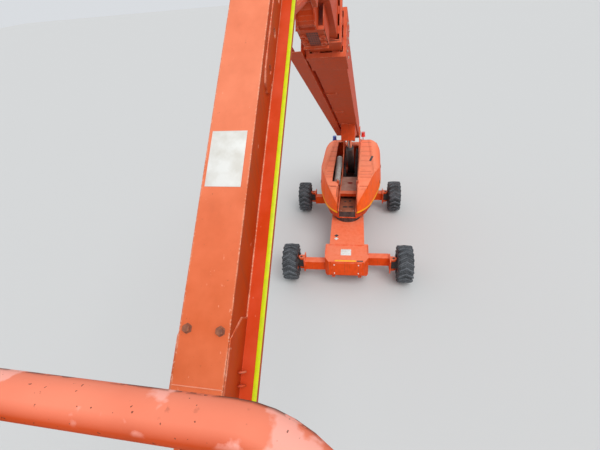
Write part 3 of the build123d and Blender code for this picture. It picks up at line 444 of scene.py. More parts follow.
white_vinyl = plain_finish("white_vinyl", (0.80, 0.80, 0.76), (0.66, 0.64, 0.58), 0.45)
black_vinyl = plain_finish("black_vinyl", (0.03, 0.03, 0.03), (0.07, 0.06, 0.06), 0.5)
amber_tape = plain_finish("amber_tape", (1.0, 0.52, 0.01), (0.92, 0.40, 0.01), 0.35)
lime_tape = plain_finish("lime_tape", (0.72, 0.83, 0.0), (0.60, 0.74, 0.0), 0.35, scale=30)
PLATE_THICK, PLATE_EDGE, BOX_TOP, SPINE_TOP = 0.0015, 0.0006, 0.9855, 1.0005
for name, corners, finish in (
    ("front_tape", ((-0.33, -2.338), (0.27, -2.285)), amber_tape),
    ("front_dark_plate", ((0.30, -2.338), (0.47, -2.290)), black_vinyl),
    ("chassis_plate", ((-0.17, -2.07), (0.13, -1.80)), white_vinyl),
):
    plate(name, corners, BOX_TOP, "chassis", finish, CHASSIS)
MARKER = ((-0.05, -0.05), (0.05, 0.05))
for name, y, vinyl in (("marker_dark", -1.16, black_vinyl), ("marker_light", -1.31, white_vinyl)):
    lozenge = CHASSIS @ Matrix.Translation((-0.33, y, 0)) @ Matrix.Rotation(math.radians(45), 4, "Z")
    plate(name, MARKER, SPINE_TOP, "chassis", vinyl, lozenge)


# Edge flanges stand proud along both sides of the axle boxes, and a thin octagonal pad is welded
# on the spine ahead of the slewing ring. Both are painted with the chassis.
def block(place, size, edge=0, turn=(0, 0, 0)):
    """A box of a size at a place, with its edges rounded where edge is given."""
    bpy.ops.mesh.primitive_cube_add(size=1, location=place, rotation=turn)
    made = bpy.context.object
    made.scale = size
    put_down()
    if edge:
        rounded_off(made, edge)
    return made


FLANGE_X, FLANGE_Y, FLANGE_Z, FLANGE_SIZE = 0.628, 1.83, 0.996, (0.014, 0.40, 0.046)
flanges = [block((side * FLANGE_X, end * FLANGE_Y, FLANGE_Z), FLANGE_SIZE, 0.003)
           for side in (-1, 1) for end in (-1, 1)]
bpy.ops.mesh.primitive_cylinder_add(vertices=8, radius=0.19, depth=0.004, location=(0.035, -0.735, 1.0022),
                                    rotation=(0, 0, math.radians(22.5)))
put_down()
flanges.append(bpy.context.object)
settled(joined(flanges, CHASSIS), "chassis_flanges", "chassis", chassis_orange)

# The four wheels: moulded rubber with chevron lugs, grey with yard dust on the crowns and flanks.
# Each rim is a pressed disc, held by a ring of nuts round the cap of its planetary drive hub.
rubber, tree, shader = new_finish("dusty_rubber")
spot = spots_of(tree)
caked = times(tree, grain(tree, spot, 3.2), grain(tree, spot, 26), "ADD")
soft_normal, agreed = rounding(tree, 0.02)
scuffed = times(tree, span(tree, agreed, 0.99, 0.88), 0.85)
dust_share = times(tree, span(tree, caked, 0.80, 1.30, 0.0, 0.45), scuffed, "ADD")
dusted = mixed(tree, dust_share, (0.007, 0.008, 0.010, 1), (0.20, 0.215, 0.235, 1))
relief = relief_on(tree, shader, grain(tree, spot, 120), 0.5, 0.004)
wire(tree, (dusted, shader.inputs["Base Color"]), (soft_normal, relief.inputs["Normal"]),
     (span(tree, caked, 0.8, 1.3, 0.6, 0.95), shader.inputs["Roughness"]))
rim_orange = aged_paint("rim_orange", (0.62, 0.07, 0.008), (0.75, 0.13, 0.04), (0.4, 0.05, 0.01), dust=0.5,
                        chips=0.5)
grease_steel = plain_finish("greasy_steel", (0.10, 0.09, 0.085), (0.05, 0.045, 0.045), 0.5, scale=20,
                            metallic=0.5)
for corner in CORNERS:
    coat_node("rim_" + corner, rim_orange)
    coat_node("knuckle_" + corner, grease_steel)

TREAD_RADIUS, TREAD_HALF = 0.519, 0.145
FLANK = [(0.160, 0.515), (0.178, 0.500), (0.194, 0.476), (0.208, 0.448), (0.2185, 0.418), (0.2223, 0.392),
         (0.2165, 0.386), (0.2170, 0.350), (0.2130, 0.318), (0.2190, 0.310), (0.2170, 0.292), (0.205, 0.280),
         (0.180, 0.272)]
bpy.ops.mesh.primitive_cylinder_add(vertices=90, radius=TREAD_RADIUS, depth=2 * TREAD_HALF,
                                    rotation=(0, math.radians(90), 0))
tyre = bpy.context.object
put_down()
for side in (-1, 1):
    select_faces(tyre, lambda centre, normal: normal.x * side > 0.9)
    x, r = TREAD_HALF, TREAD_RADIUS
    for next_x, next_r in FLANK:
        pushed(side * (next_x - x), 0, 0)
        bpy.ops.transform.resize(value=(1, next_r / r, next_r / r), center_override=(side * next_x, 0, 0))
        x, r = next_x, next_r
select_faces(tyre, lambda centre, normal: abs(normal.x) > 0.9 and math.hypot(centre.y, centre.z) < 0.05)
bpy.ops.mesh.delete(type="FACE")
bpy.ops.object.mode_set(mode="OBJECT")

# One lug runs from the tyre's middle outward and back in five stretches, falling to the shoulder.
# It is mirrored into a chevron and repeated round the tread.
LUG_COUNT, LUG_START, SWEEP = 18, 0.004, -0.58
lug = block((LUG_START / 2, 0.056, 0.5193), (LUG_START, 0.056, 0.064))
reach = LUG_START
for dx, dz in ((0.050, -0.001), (0.050, -0.002), (0.045, -0.003), (0.035, -0.005), (0.0305, -0.009)):
    select_faces(lug, lambda centre, normal: normal.x > 0.5 and centre.x > reach - 0.001)
    pushed(dx, SWEEP * dx, dz)
    reach = reach + dx
select_faces(lug, lambda centre, normal: normal.z > 0.5)
bpy.ops.transform.resize(value=(1, 0.88, 1))
bpy.ops.object.mode_set(mode="OBJECT")
halves = lug.modifiers.new("halves", "MIRROR")
halves.use_clip = True
halves.merge_threshold = 0.002
bpy.ops.object.modifier_apply(modifier=halves.name)
rounded_off(lug, 0.006)
lugs = []
for number in range(LUG_COUNT):
    twin = twin_of(lug)
    twin.rotation_euler = (math.radians(360 / LUG_COUNT * number - 90), 0, 0)
    lugs.append(twin)
tyre = joined([tyre] + lugs)
put_down()
WHEEL_X, WHEEL_Y, WHEEL_Z = 1.6825, 1.905, 0.555
for corner, (side, end) in CORNERS.items():
    twin = twin_of(tyre)
    twin.data.transform(CHASSIS @ Matrix.Translation((side * WHEEL_X, end * WHEEL_Y, WHEEL_Z)))
    settled(twin, "lugged_tyre_" + corner, "wheel_" + corner, rubber)
    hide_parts("tyre_" + corner)
bpy.data.objects.remove(lug)
bpy.data.objects.remove(tyre)

HUB_FACE, NUT_FACE, NUT_CIRCLE, NUT_COUNT = 0.118, -0.022, 0.19, 10
hub = round_blank(40, 0.118, 0.05)
stepped(hub, (0.022, 0.014), (0.030, -0.006), (0.028, 0.010))
rounded_off(hub, 0.003)
for corner, (side, end) in CORNERS.items():
    out = chassis_turn @ Vector((side, 0, 0))
    axle_point = CHASSIS @ Vector((side * WHEEL_X, end * WHEEL_Y, WHEEL_Z))
    hub_place = [(axle_point + out * HUB_FACE, out)]
    copies(hub, hub_place, "hub_cap_" + corner, "wheel_" + corner, rim_orange)
    ring = []
    for step in range(NUT_COUNT):
        angle = math.radians(360 / NUT_COUNT * step)
        around = chassis_turn @ Vector((0, math.cos(angle), math.sin(angle)))
        ring.append((axle_point + out * NUT_FACE + around * NUT_CIRCLE, out))
    copies(bolt, ring, "wheel_nuts_" + corner, "wheel_" + corner, bolt_steel)
bpy.data.objects.remove(hub)

# The slewing bearing is a ring of bare greased steel on the spine, under the turntable's deck.
# Nothing but its outer side shows.
coat_node("slew_ring", grease_steel)

# The turntable: side plates folded from thick steel, a cast weight behind and moulded hoods on both
# sides. The hoods' tops are bleached, with a painted sky reflection, and grooved across, with painted shade
# in the grooves; amber tape runs along their lower edge.
boom_orange = aged_paint("boom_orange", (0.62, 0.055, 0.005), (0.97, 0.22, 0.10), (0.42, 0.055, 0.016),
                         dust=0.2, chips=0.3, streaks=0.35)
for name in ("turntable_frame", "boom_base", "hose_tray", "boom_mid", "boom_fly", "fly_head"):
    coat_node(name, boom_orange)
iron_orange = aged_paint("cast_orange", (0.76, 0.09, 0.008), (0.98, 0.24, 0.11), (0.4, 0.05, 0.01),
                         dust=0.35, chips=0.4, bump=0.6, edge_radius=0.02)
coat_node("counterweight", iron_orange)


def between(tree, value, low, high, soft):
    """1 where the value lies between low and high, fading to 0 inside them over soft."""
    return times(tree, span(tree, value, low, low + soft), span(tree, value, high, high - soft))


TAPE_LOW, TAPE_HIGH, TAPE_END = 1.372, 1.424, 5.62
GROOVE_PITCH = 0.36
hood_orange = aged_paint("hood_orange", (0.96, 0.115, 0.010), (1.0, 0.275, 0.145), (0.5, 0.06, 0.01),
                         dust=0.10, chips=0.05, streaks=0.12, edge_radius=0.07)
tree, shader, coat, relief = layers_of(hood_orange)
at = axes(tree, spots_of(tree))
tape = between(tree, at[2], TAPE_LOW, TAPE_HIGH, 0.004)
tape = times(tree, tape, span(tree, at[1], TAPE_END, TAPE_END - 0.02))
along = times(tree, at[1], GROOVE_PITCH, "MODULO")
groove = times(tree, span(tree, along, 0.0, 0.015), span(tree, along, 0.050, 0.030))
across = times(tree, at[0], 0.0, "ABSOLUTE")
groove = times(tree, groove, between(tree, across, 0.36, 0.74, 0.02))
groove = times(tree, groove, span(tree, at[2], 2.0, 2.05))
deep = times(tree, coat.outputs["Height"], times(tree, groove, 4.0), "SUBTRACT")
# The grooves' floors turn darker: painted shade in the grooves.
groove_painted_shade = mixed(tree, times(tree, groove, 0.55), coat.outputs["Color"], (0.40, 0.045, 0.008, 1))
wire(tree, (deep, relief.inputs["Height"]),
     (mixed(tree, tape, groove_painted_shade, (1.0, 0.47, 0.01, 1)), shader.inputs["Base Color"]))
for name in ("hood_left", "hood_right"):
    coat_node(name, hood_orange)

dusty_plate = plain_finish("dusty_plate", (0.38, 0.17, 0.12), (0.46, 0.26, 0.20), 0.75, scale=6)
machine_black = plain_finish("machine_black", (0.025, 0.025, 0.027), (0.075, 0.065, 0.06), 0.5, scale=8)
tube_grey = plain_finish("tube_grey", (0.52, 0.50, 0.46), (0.40, 0.37, 0.33), 0.55, scale=8)
coat_node("channel_cover", dusty_plate)
for name in ("engine", "valve_box", "hydraulic_tank", "fuel_tank"):
    coat_node(name, machine_black)
coat_node("grey_tube", tube_grey)
pin_steel = plain_finish("pin_steel", (0.42, 0.38, 0.34), (0.25, 0.19, 0.15), 0.4, scale=18, metallic=0.8)
for name in ("boom_pivot_pin", "lift_cylinder_pin", "jib_pivot_pin"):
    coat_node(name, pin_steel)

# The channel between the side plates: a black floor plate as painted shade deep in the channel, a valve
# cover with ports over the valve box, black hoses from the valves back to the boom's pivot, and a blank oval
# mark on the brown cover.
PAN_HEIGHT, COVER_HEIGHT, COVER_TOP = 1.1905, 1.3903, 1.3918
# A black plate on the channel's floor: painted shade deep in the channel.
plate("channel_shade_floor", ((-0.262, 4.45), (0.262, 6.74)), PAN_HEIGHT, "turntable", machine_black)
cover_orange = plain_finish("dusty_cover", (0.33, 0.115, 0.055), (0.24, 0.075, 0.04), 0.7, scale=9)
plate("valve_cover", ((-0.255, 3.262), (0.255, 4.32)), COVER_HEIGHT, "turntable", cover_orange)
port = round_blank(32, 0.040, 0.006)
stepped(port, (0.008, -0.004))
straight_up = Vector((0, 0, 1))
PORTS = [(-0.126, 4.13), (-0.070, 4.16), (0.100, 4.13), (-0.125, 3.54), (-0.085, 3.54), (-0.045, 3.54),
         (0.070, 3.54), (0.110, 3.54), (0.150, 3.54), (-0.10, 3.86), (0.06, 3.90)]
spots = [(Vector((x, y, COVER_TOP)), straight_up) for x, y in PORTS]
copies(port, spots, "valve_ports", "turntable", machine_black)
spots = [(Vector((x, 3.32, COVER_TOP)), straight_up) for x in (-0.2, 0.2)]
copies(bolt, spots, "valve_cover_bolts", "turntable", bolt_steel)
red_enamel = plain_finish("red_enamel", (0.30, 0.020, 0.010), (0.20, 0.018, 0.010), 0.4, scale=20)
port.data.transform(Matrix.Diagonal((2.3, 1.5, 0.5, 1)))
mark_place = [(Vector((0.021, 4.617, 1.6800)), Vector((0, -0.05, 1)))]
copies(port, mark_place, "oval_mark", "turntable", red_enamel)
bpy.data.objects.remove(port)

HOSE_RADIUS = 0.0155
black_hose = plain_finish("black_hose", (0.016, 0.016, 0.017), (0.045, 0.043, 0.042), 0.55, scale=30)
hoses = []
for x, lift in (
    (-0.238, 0.00), (-0.204, 0.05), (-0.170, -0.03), (0.172, 0.02), (0.206, -0.02), (0.238, 0.06)
):
    route = ((x, 5.10, 1.20), (x, 5.12, 1.85 + lift), (x * 0.98, 5.62, 2.12 + lift),
             (x * 0.98, 6.20, 2.10 + lift), (x, 6.755, 2.00 + lift))
    bpy.ops.curve.primitive_nurbs_path_add()
    line = bpy.context.object
    for point, place in zip(line.data.splines[0].points, route):
        point.co = (*place, 1)
    line.data.splines[0].use_endpoint_u = True
    line.data.bevel_depth = HOSE_RADIUS
    line.data.bevel_resolution = 5
    line.data.use_fill_caps = True
    bpy.ops.object.convert(target="MESH")
    hoses.append(bpy.context.object)
settled(joined(hoses), "channel_hoses", "turntable", black_hose)

# The right hood has a black vent let into its top; the left one has the seam of a small door.
# Both are moulded details, set into the hood's skin.
VENT_PLACE, VENT_SIZE = (0.721, 5.235, 2.3085), (0.075, 0.36, 0.008)
VENT_TURN = (math.radians(2.05), 0, math.radians(-12.7))
vent = block(VENT_PLACE, VENT_SIZE, 0.003, VENT_TURN)
settled(vent, "hood_vent", "hood_right", machine_black)
FRONT_SLOPE = (math.radians(33.2), 0, 0)
seams = [block((-0.440, 3.600, 2.1165), (0.22, 0.014, 0.004), turn=FRONT_SLOPE),
         block((-0.332, 3.450, 2.0185), (0.014, 0.36, 0.004), turn=FRONT_SLOPE)]
seam_shade = plain_finish("seam_shade", (0.30, 0.035, 0.010), (0.22, 0.028, 0.010), 0.7)
settled(joined(seams), "hood_door_seam", "hood_left", seam_shade)

# Fasteners of the upper works: latches on the hoods' outer sides, bolts around the boom's pivot,
# on the weight's top and on the collar at the boom's mouth.
LATCH_THICK = 0.012
latch = block((0, 0, LATCH_THICK / 2), (0.050, 0.110, LATCH_THICK))
stepped(latch, (0.010, -0.005), (0.006, 0.007))
rounded_off(latch, 0.0015)
BESIDE_HOOD, LATCH_HEIGHT = 1.6, 1.52
for side, name in ((-1, "hood_left"), (1, "hood_right")):
    spots = []
    for y in (5.00, 6.20):
        start = Vector((side * BESIDE_HOOD, y, LATCH_HEIGHT))
        found, point, normal, _ = nodes[name].ray_cast(start, Vector((-side, 0, 0)))
        if found:
            spots.append((point, normal))
    copies(latch, spots, name + "_latches", name, machine_black)
bpy.data.objects.remove(latch)

PIVOT_Y, PIVOT_Z, PIVOT_FACE, PIVOT_CIRCLE = 6.567, 2.7, 0.2935, 0.105
spots = []
for side in (-1, 1):
    for angle in (0.5, 2.1, 3.6, 5.2):
        y = PIVOT_Y + PIVOT_CIRCLE * math.cos(angle)
        z = PIVOT_Z + PIVOT_CIRCLE * math.sin(angle)
        spots.append((Vector((side * PIVOT_FACE, y, z)), Vector((side, 0, 0))))
spots += [(Vector((x, 6.98, 2.1195)), straight_up) for x in (-0.9, -0.7, 0.7, 0.9)]
copies(bolt, spots, "pivot_and_weight_bolts", "turntable", bolt_steel)
BOOM = Matrix.Translation((0, PIVOT_Y, PIVOT_Z)) @ Matrix.Rotation(math.radians(-29.92), 4, "X")
boom_turn = BOOM.to_3x3()
COLLAR_ROWS, COLLAR_TOP, COLLAR_SIDE = (-8.20, -8.45), 0.4548, 0.2758
top_spots = [Vector((x, y, COLLAR_TOP)) for x in (-0.17, -0.06, 0.06, 0.17) for y in COLLAR_ROWS]
side_spots = [Vector((COLLAR_SIDE, y, z)) for z in (-0.05, 0.12, 0.32) for y in COLLAR_ROWS]
spots = [(BOOM @ place, boom_turn @ straight_up) for place in top_spots]
spots += [(BOOM @ place, Vector((1, 0, 0))) for place in side_spots]
copies(bolt, spots, "collar_bolts", "boom_base", bolt_steel)


# The lamps on the tail: moulded lenses, blue on the left and red on the right.
# They stand on short stems on the counterweight.
def lens(name, colour):
    """A glossy coloured plastic."""
    made = plain_finish(name, colour, tuple(c * 0.7 for c in colour), 0.15, scale=5, bump=0.02)
    made.node_tree.nodes["Principled BSDF"].inputs["Coat Weight"].default_value = 0.5
    return made


coat_node("beacon_left", lens("blue_lens", (0.01, 0.08, 0.42)))
coat_node("beacon_right", lens("red_lens", (0.80, 0.03, 0.02)))

# The cylinders: a black barrel under the boom and an orange one at the jib, each with a ground
# and chromed rod that stands out of it.
chrome = plain_finish("chromed_rod", (0.78, 0.78, 0.80), (0.66, 0.66, 0.68), 0.12, scale=30, metallic=1.0,
                      bump=0.02)
for name in ("lift_cylinder_rod", "jib_cylinder_rod"):
    coat_node(name, chrome)
coat_node("lift_cylinder_barrel", machine_black)
coat_node("jib_cylinder_barrel", boom_orange)

# Under the fly section hangs a folded carrier for the hoses: two webs, a plate with turned-down
# lips, two pressed bosses at each side and a dark perforated panel between them.
boom_down = boom_turn @ Vector((0, 0, -1))
LEFT, RIGHT, NEAR, FAR, FOOT, SHEET = -0.180, 0.120, -9.87, -9.35, -0.290, 0.012
WEB_TOP, LIP_TOP = -0.0655, FOOT + SHEET
walls = []
for low_corner, high_corner in (
    ((LEFT, NEAR, FOOT), (RIGHT, FAR, FOOT + SHEET)),
    ((LEFT, NEAR, FOOT), (LEFT + SHEET, FAR, WEB_TOP)),
    ((RIGHT - SHEET, NEAR, FOOT), (RIGHT, FAR, WEB_TOP)),
    ((LEFT, NEAR, -0.320), (RIGHT, NEAR + SHEET, LIP_TOP)),
    ((LEFT, FAR - SHEET, -0.325), (RIGHT, FAR, LIP_TOP)),
):
    low_corner, high_corner = Vector(low_corner), Vector(high_corner)
    walls.append(block((low_corner + high_corner) / 2, high_corner - low_corner, 0.002))
settled(joined(walls, BOOM), "hose_carrier", "boom_fly", boom_orange)
boss = round_blank(32, 0.036, 0.024)
stepped(boss, (0.010, -0.012))
rounded_off(boss, 0.002)
BOSSES = [(-0.135, -9.66), (-0.135, -9.50), (0.075, -9.62), (0.075, -9.46)]
spots = [(BOOM @ Vector((x, y, FOOT)), boom_down) for x, y in BOSSES]
copies(boss, spots, "carrier_bosses", "boom_fly", boom_orange)
bpy.data.objects.remove(boss)
mesh_panel = plain_finish("mesh_panel", (0.030, 0.012, 0.010), (0.10, 0.025, 0.014), 0.7, scale=40)
tree = mesh_panel.node_tree
holes = node(tree, "ShaderNodeTexVoronoi", feature="F1")
holes.inputs["Scale"].default_value = 38
holes.inputs["Randomness"].default_value = 0.0
wire(tree, (spots_of(tree), holes.inputs["Vector"]))
steel_share = span(tree, holes.outputs["Distance"], 0.32, 0.42)
wire(tree, (mixed(tree, steel_share, (0.012, 0.008, 0.008, 1), (0.20, 0.035, 0.016, 1)),
            tree.nodes["Principled BSDF"].inputs["Base Color"]))
plate("carrier_mesh", ((-0.095, -9.74), (0.035, -9.38)), -0.2918, "boom_fly", mesh_panel, BOOM)

# The jib: a box of folded plate with a ledge along each lower edge, right before the operator.
# Its top is bleached to salmon, with a painted sky reflection that weakens towards the platform, while the
# ledge keeps a saturated orange without it; the top carries one bare white plate and lime tape edges the
# ledge.
jib_orange = aged_paint("jib_orange", (0.48, 0.048, 0.004), (0.98, 0.28, 0.14), (0.42, 0.045, 0.008),
                        dust=0.12, chips=0.35, streaks=0.25, edge_radius=0.010)
tree, shader, coat, _ = layers_of(jib_orange)
spot = spots_of(tree)
at = axes(tree, spot)
across = times(tree, at[0], 0.0, "ABSOLUTE")
# The top's salmon is bleach with a painted sky reflection, weaker towards the platform; the ledge's tops get
# a saturated orange with no painted reflection.
top_bleach_and_sky_sheen = mixed(tree, span(tree, at[1], -4.85, -5.50), (1.0, 0.280, 0.140, 1), (0.90, 0.190, 0.062, 1))
ledge = span(tree, across, 0.110, 0.114)
wire(tree, (mixed(tree, ledge, top_bleach_and_sky_sheen, (0.80, 0.062, 0.004, 1)), coat.inputs["Bleached and sky sheen"]))
upward = span(tree, axes(tree, true_normal(tree))[2], 0.5, 0.7)
rim_line = times(tree, span(tree, across, 0.099, 0.106), span(tree, ledge, 1.0, 0.0))
rim_line = times(tree, rim_line, upward)
speckle = times(tree, rim_line, span(tree, grain(tree, spot, 110, 3.0), 0.52, 0.62, 0.0, 0.75))
scrape = times(tree, span(tree, grain(tree, spot, 40, 8.0, (1, 0.5, 0.5)), 0.70, 0.74), 0.5)
spilt = times(tree, speckle, scrape, "MAXIMUM")
wire(tree, (mixed(tree, spilt, coat.outputs["Color"], (0.98, 0.50, 0.34, 1)), shader.inputs["Base Color"]))
for name in ("jib_base", "jib_fly", "level_link", "platform_bracket"):
    coat_node(name, jib_orange)
JIB = Matrix.Translation((0, SLEW_Y - 7.050, 8.331)) @ Matrix.Rotation(math.radians(38.76), 4, "X")
JIB_TOP, LEDGE_TOP = 0.1103, -0.0698
plate("jib_plate", ((-0.091, -2.03), (0.076, -1.76)), JIB_TOP, "jib_base", white_vinyl, JIB)
for side, name in ((-1, "left"), (1, "right")):
    x0, x1 = sorted((side * 0.170, side * 0.190))
    tape_ends = ((x0, -2.92), (x1, -0.34))
    plate("jib_tape_" + name, tape_ends, LEDGE_TOP, "jib_base", lime_tape, JIB)
jib_up = JIB.to_3x3() @ straight_up
spots = [(JIB @ Vector((x, -2.63, 0.1105)), jib_up) for x in (-0.073, 0.067)]
rusty_bolt = plain_finish("rusty_bolt", (0.40, 0.13, 0.06), (0.20, 0.07, 0.04), 0.7, scale=60)
copies(bolt, spots, "jib_pad_bolts", "jib_base", rusty_bolt)
bpy.data.objects.remove(bolt)


# The jib's mouth is doubled by a welded plate on each side with an oblique end, and beads of weld
# run round the plates and across the top. Two small guide rings are welded on the right.
def bent_tube(start, along, steps, radius, sides=32):
    """A round tube from start; a step is a straight (x, y, z) or a bend, (centre, angle)."""
    turn = Vector(along).to_track_quat("Z", "Y").to_euler()
    bpy.ops.mesh.primitive_circle_add(vertices=sides, radius=radius, fill_type="NOTHING", location=start,
                                      rotation=turn)
    made = bpy.context.object
    put_down()
    bpy.ops.object.mode_set(mode="EDIT")
    bpy.ops.mesh.select_mode(type="EDGE")
    bpy.ops.mesh.select_all(action="SELECT")
    for step in steps:
        if len(step) == 3:
            pushed(*step)
        else:
            centre, angle = step
            bpy.ops.mesh.spin(steps=12, angle=math.radians(angle), center=centre, axis=(0, 0, 1))
    bpy.ops.mesh.select_all(action="SELECT")
    bpy.ops.mesh.remove_doubles(threshold=0.0005)
    bpy.ops.mesh.fill_holes(sides=sides)
    bpy.ops.mesh.select_all(action="SELECT")
    bpy.ops.mesh.normals_make_consistent(inside=False)
    bpy.ops.object.mode_set(mode="OBJECT")
    return made


JIB_SIDE, DOUBLER_THICK, DOUBLER_HEIGHT, DOUBLER_LENGTH = 0.107, 0.006, 0.206, 0.350
doublers = []
for side in (-1, 1):
    bpy.ops.mesh.primitive_plane_add(size=1, location=(side * JIB_SIDE, -2.745, 0.005),
                                     rotation=(0, math.radians(90), 0))
    doubler = bpy.context.object
    doubler.scale = (DOUBLER_HEIGHT, DOUBLER_LENGTH, 1)
    put_down()
    bpy.ops.object.mode_set(mode="EDIT")
    bpy.ops.mesh.select_all(action="SELECT")
    bpy.ops.mesh.bisect(plane_co=(0, -2.585, 0.02), plane_no=(0, 0.774, 0.633), clear_outer=True)
    thickened(side * DOUBLER_THICK, 0, 0)
    rounded_off(doubler, 0.0015)
    doublers.append(doubler)
settled(joined(doublers, JIB), "jib_mouth_doublers", "jib_base", jib_orange)
bead_orange = aged_paint("bead_orange", (0.92, 0.20, 0.07), (1.0, 0.34, 0.20), (0.5, 0.06, 0.02), dust=0.1,
                         chips=0.1)
TOP_BEAD, SIDE_BEAD, BEAD_SIDES = 0.0026, 0.0030, 12
beads = [bent_tube((-0.104, -2.84, 0.1105), (1, 0, 0), [(0.208, 0, 0)], TOP_BEAD, BEAD_SIDES)]
for side in (-1, 1):
    bead_start = (side * 0.1085, -2.575, 0.003)
    beads.append(bent_tube(bead_start, (0, -0.63, 0.77), [(0, -0.0835, 0.1020)], SIDE_BEAD, BEAD_SIDES))
    beads.append(bent_tube(bead_start, (0, 0, -1), [(0, 0.004, -0.099)], SIDE_BEAD, BEAD_SIDES))
settled(joined(beads, JIB), "jib_mouth_beads", "jib_base", bead_orange)
rings = []
for y, z in ((-2.790, -0.030), (-2.845, -0.045)):
    bpy.ops.mesh.primitive_torus_add(major_radius=0.015, minor_radius=0.0045, major_segments=28,
                                     minor_segments=10, location=(0.128, y, z),
                                     rotation=(math.radians(90), 0, math.radians(12)))
    put_down()
    rings.append(bpy.context.object)
settled(joined(rings, JIB), "jib_guide_rings", "jib_base", jib_orange)

# The platform: a basket of bent and welded steel tube on a flat floor, with a swinging gate.
# Its orange is rubbed pink where hands and tools lie, chipped on the far side of the rails.
rail_orange = aged_paint("rail_orange", (0.66, 0.075, 0.010), (0.98, 0.26, 0.15), (0.30, 0.035, 0.010),
                         dust=0.10, chips=0.5, streaks=0.1, edge_radius=0.002)
tree, shader, coat, _ = layers_of(rail_orange)
spot = spots_of(tree)
facing = axes(tree, true_normal(tree))
rubbed = times(tree, span(tree, grain(tree, spot, 11, 9.0), 0.555, 0.58), span(tree, facing[2], 0.2, 0.6))
far_side = times(tree, span(tree, facing[1], 0.62, 0.85), span(tree, facing[2], -0.1, 0.2))
flaked = times(tree, far_side, span(tree, grain(tree, spot, 48, 7.0), 0.47, 0.51))
specks = times(tree, span(tree, grain(tree, spot, 150, 2.0), 0.70, 0.72), 0.8)
yellowed = times(tree, span(tree, grain(tree, spot, 5.0, 4.0), 0.62, 0.66), span(tree, facing[2], 0.5, 0.1))
colour = mixed(tree, rubbed, coat.outputs["Color"], (1.0, 0.42, 0.33, 1))
colour = mixed(tree, yellowed, colour, (0.80, 0.28, 0.02, 1))
colour = mixed(tree, times(tree, flaked, specks, "MAXIMUM"), colour, (0.085, 0.035, 0.022, 1))
wire(tree, (colour, shader.inputs["Base Color"]))

SIDE, REAR, FRONT, BEND, FLOOR = 0.630, -6.1733, -7.0833, 0.126, 6.5053
TOP_RAIL, POST_TOP = 7.5803, 7.575
GATE_FRONT, GATE_REAR, GATE_GAP = -6.8933, -6.3933, 0.040
TOP_TUBE, THIN_TUBE, RUNG_TUBE, GATE_TUBE, THIN_SIDES = 0.0219, 0.0125, 0.0118, 0.0139, 24
turn_x, turn_rear, turn_front = SIDE - BEND, REAR - BEND, FRONT + BEND
run_x, run_y = 2 * turn_x, REAR - FRONT - 2 * BEND
tubes = []
for height, radius, low_end, high_end in (
    (TOP_RAIL, TOP_TUBE, -6.60, -6.60),
    (FLOOR + 0.420, THIN_TUBE, GATE_FRONT - GATE_GAP, GATE_REAR + GATE_GAP),
    (FLOOR + 0.760, THIN_TUBE, GATE_FRONT - GATE_GAP, GATE_REAR + GATE_GAP),
):
    tubes.append(bent_tube((-SIDE, high_end, height), (0, 1, 0), [
        (0, turn_rear - high_end, 0), ((-turn_x, turn_rear, height), 90), (run_x, 0, 0),
        ((turn_x, turn_rear, height), 90), (0, -run_y, 0), ((turn_x, turn_front, height), 90),
        (-run_x, 0, 0), ((-turn_x, turn_front, height), 90), (0, low_end - turn_front, 0)], radius))
inset = BEND + 0.024
post_feet = [(-SIDE, GATE_FRONT - GATE_GAP), (-SIDE, GATE_REAR + GATE_GAP), (SIDE, FRONT + inset),
             (SIDE, REAR - inset), (-SIDE + inset, FRONT), (SIDE - inset, FRONT), (-SIDE + inset, REAR),
             (SIDE - inset, REAR), (SIDE, (FRONT + REAR) / 2)]
for x, y in post_feet:
    rise = (0, 0, POST_TOP - FLOOR)
    tubes.append(bent_tube((x, y, FLOOR + 0.0003), (0, 0, 1), [rise], THIN_TUBE, THIN_SIDES))
basket = settled(joined(tubes), "basket_tubes", "platform", rail_orange)
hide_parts("platform_rails")

gate_run, gate_rise = (0, GATE_REAR - GATE_FRONT, 0), (0, 0, 0.840)
rungs = []
for height in (0.150, 0.500, 0.850):
    rung_start = (-SIDE, GATE_FRONT, FLOOR + height)
    rungs.append(bent_tube(rung_start, (0, 1, 0), [gate_run], RUNG_TUBE, THIN_SIDES))
for y in (GATE_FRONT, GATE_REAR):
    rungs.append(bent_tube((-SIDE, y, FLOOR + 0.060), (0, 0, 1), [gate_rise], GATE_TUBE, THIN_SIDES))
swing_gate = settled(joined(rungs), "gate_tubes", "gate", rail_orange)
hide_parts("platform_gate")
coat_node("rotator", rail_orange)

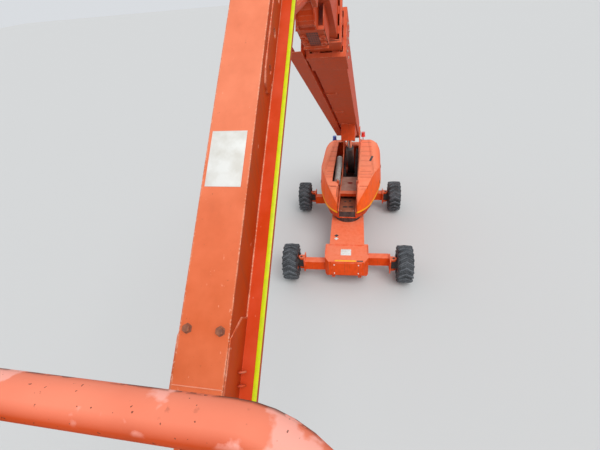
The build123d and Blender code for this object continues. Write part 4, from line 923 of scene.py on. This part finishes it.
# The platform's floor is chequered steel plate, worn bright; the console is a moulded black box.
# Three levers with rubber gaiters stand on it, beside a red stop button and a blank plate.
deck_steel = plain_finish("deck_steel", (0.36, 0.35, 0.34), (0.25, 0.23, 0.21), 0.6, scale=12, metallic=0.3)
tree = deck_steel.node_tree
relief = next(n for n in tree.nodes if n.type == "BUMP")
spot = spots_of(tree)
bars = []
for turn in (45, -45):
    turned = node(tree, "ShaderNodeMapping", in_2=(0, 0, math.radians(turn)), in_3=(22, 22, 22))
    cell = node(tree, "ShaderNodeTexVoronoi", feature="F1", distance="CHEBYCHEV")
    cell.inputs["Randomness"].default_value = 0.0
    cell.inputs["Scale"].default_value = 1.0
    stretched = node(tree, "ShaderNodeMapping", in_3=(1.0, 0.38, 0.0))
    wire(tree, (spot, turned.inputs[0]), (turned.outputs[0], stretched.inputs[0]),
         (stretched.outputs[0], cell.inputs["Vector"]))
    bars.append(span(tree, cell.outputs["Distance"], 0.20, 0.14))
relief.inputs["Strength"].default_value = 0.6
relief.inputs["Distance"].default_value = 0.003
wire(tree, (times(tree, bars[0], bars[1], "MAXIMUM"), relief.inputs["Height"]))
coat_node("platform_floor", deck_steel)
coat_node("control_console", machine_black)
CONSOLE = Matrix.Translation((0, -6.3108, 7.5583)) @ Matrix.Rotation(math.radians(26.87), 4, "X")
console_out = CONSOLE.to_3x3() @ straight_up
plate("console_plate", ((-0.350, -0.055), (-0.225, 0.055)), 0.0003, "platform", white_vinyl, CONSOLE)
GAITER_HEIGHT = 0.022
bpy.ops.mesh.primitive_cone_add(vertices=24, radius1=0.022, radius2=0.009, depth=GAITER_HEIGHT,
                                location=(0, 0, GAITER_HEIGHT / 2))
gaiter = bpy.context.object
bpy.ops.mesh.primitive_cylinder_add(vertices=16, radius=0.005, depth=0.050, location=(0, 0, 0.042))
stem = bpy.context.object
bpy.ops.mesh.primitive_uv_sphere_add(segments=24, ring_count=12, radius=0.013, location=(0, 0, 0.070))
knob = bpy.context.object
lever = joined([gaiter, stem, knob])
put_down()
LEVER_X = (-0.17, -0.07, 0.03)
spots = [(CONSOLE @ Vector((x, 0.0, 0.0)), console_out) for x in LEVER_X]
copies(lever, spots, "console_levers", "platform", black_hose)
bpy.data.objects.remove(lever)
button = round_blank(32, 0.021, 0.016)
rounded_off(button, 0.004, 3)
button_red = plain_finish("button_red", (0.62, 0.012, 0.010), (0.50, 0.012, 0.010), 0.3, scale=30)
button_place = [(CONSOLE @ Vector((0.125, 0.01, 0.0)), console_out)]
copies(button, button_place, "stop_button", "platform", button_red)
bpy.data.objects.remove(button)
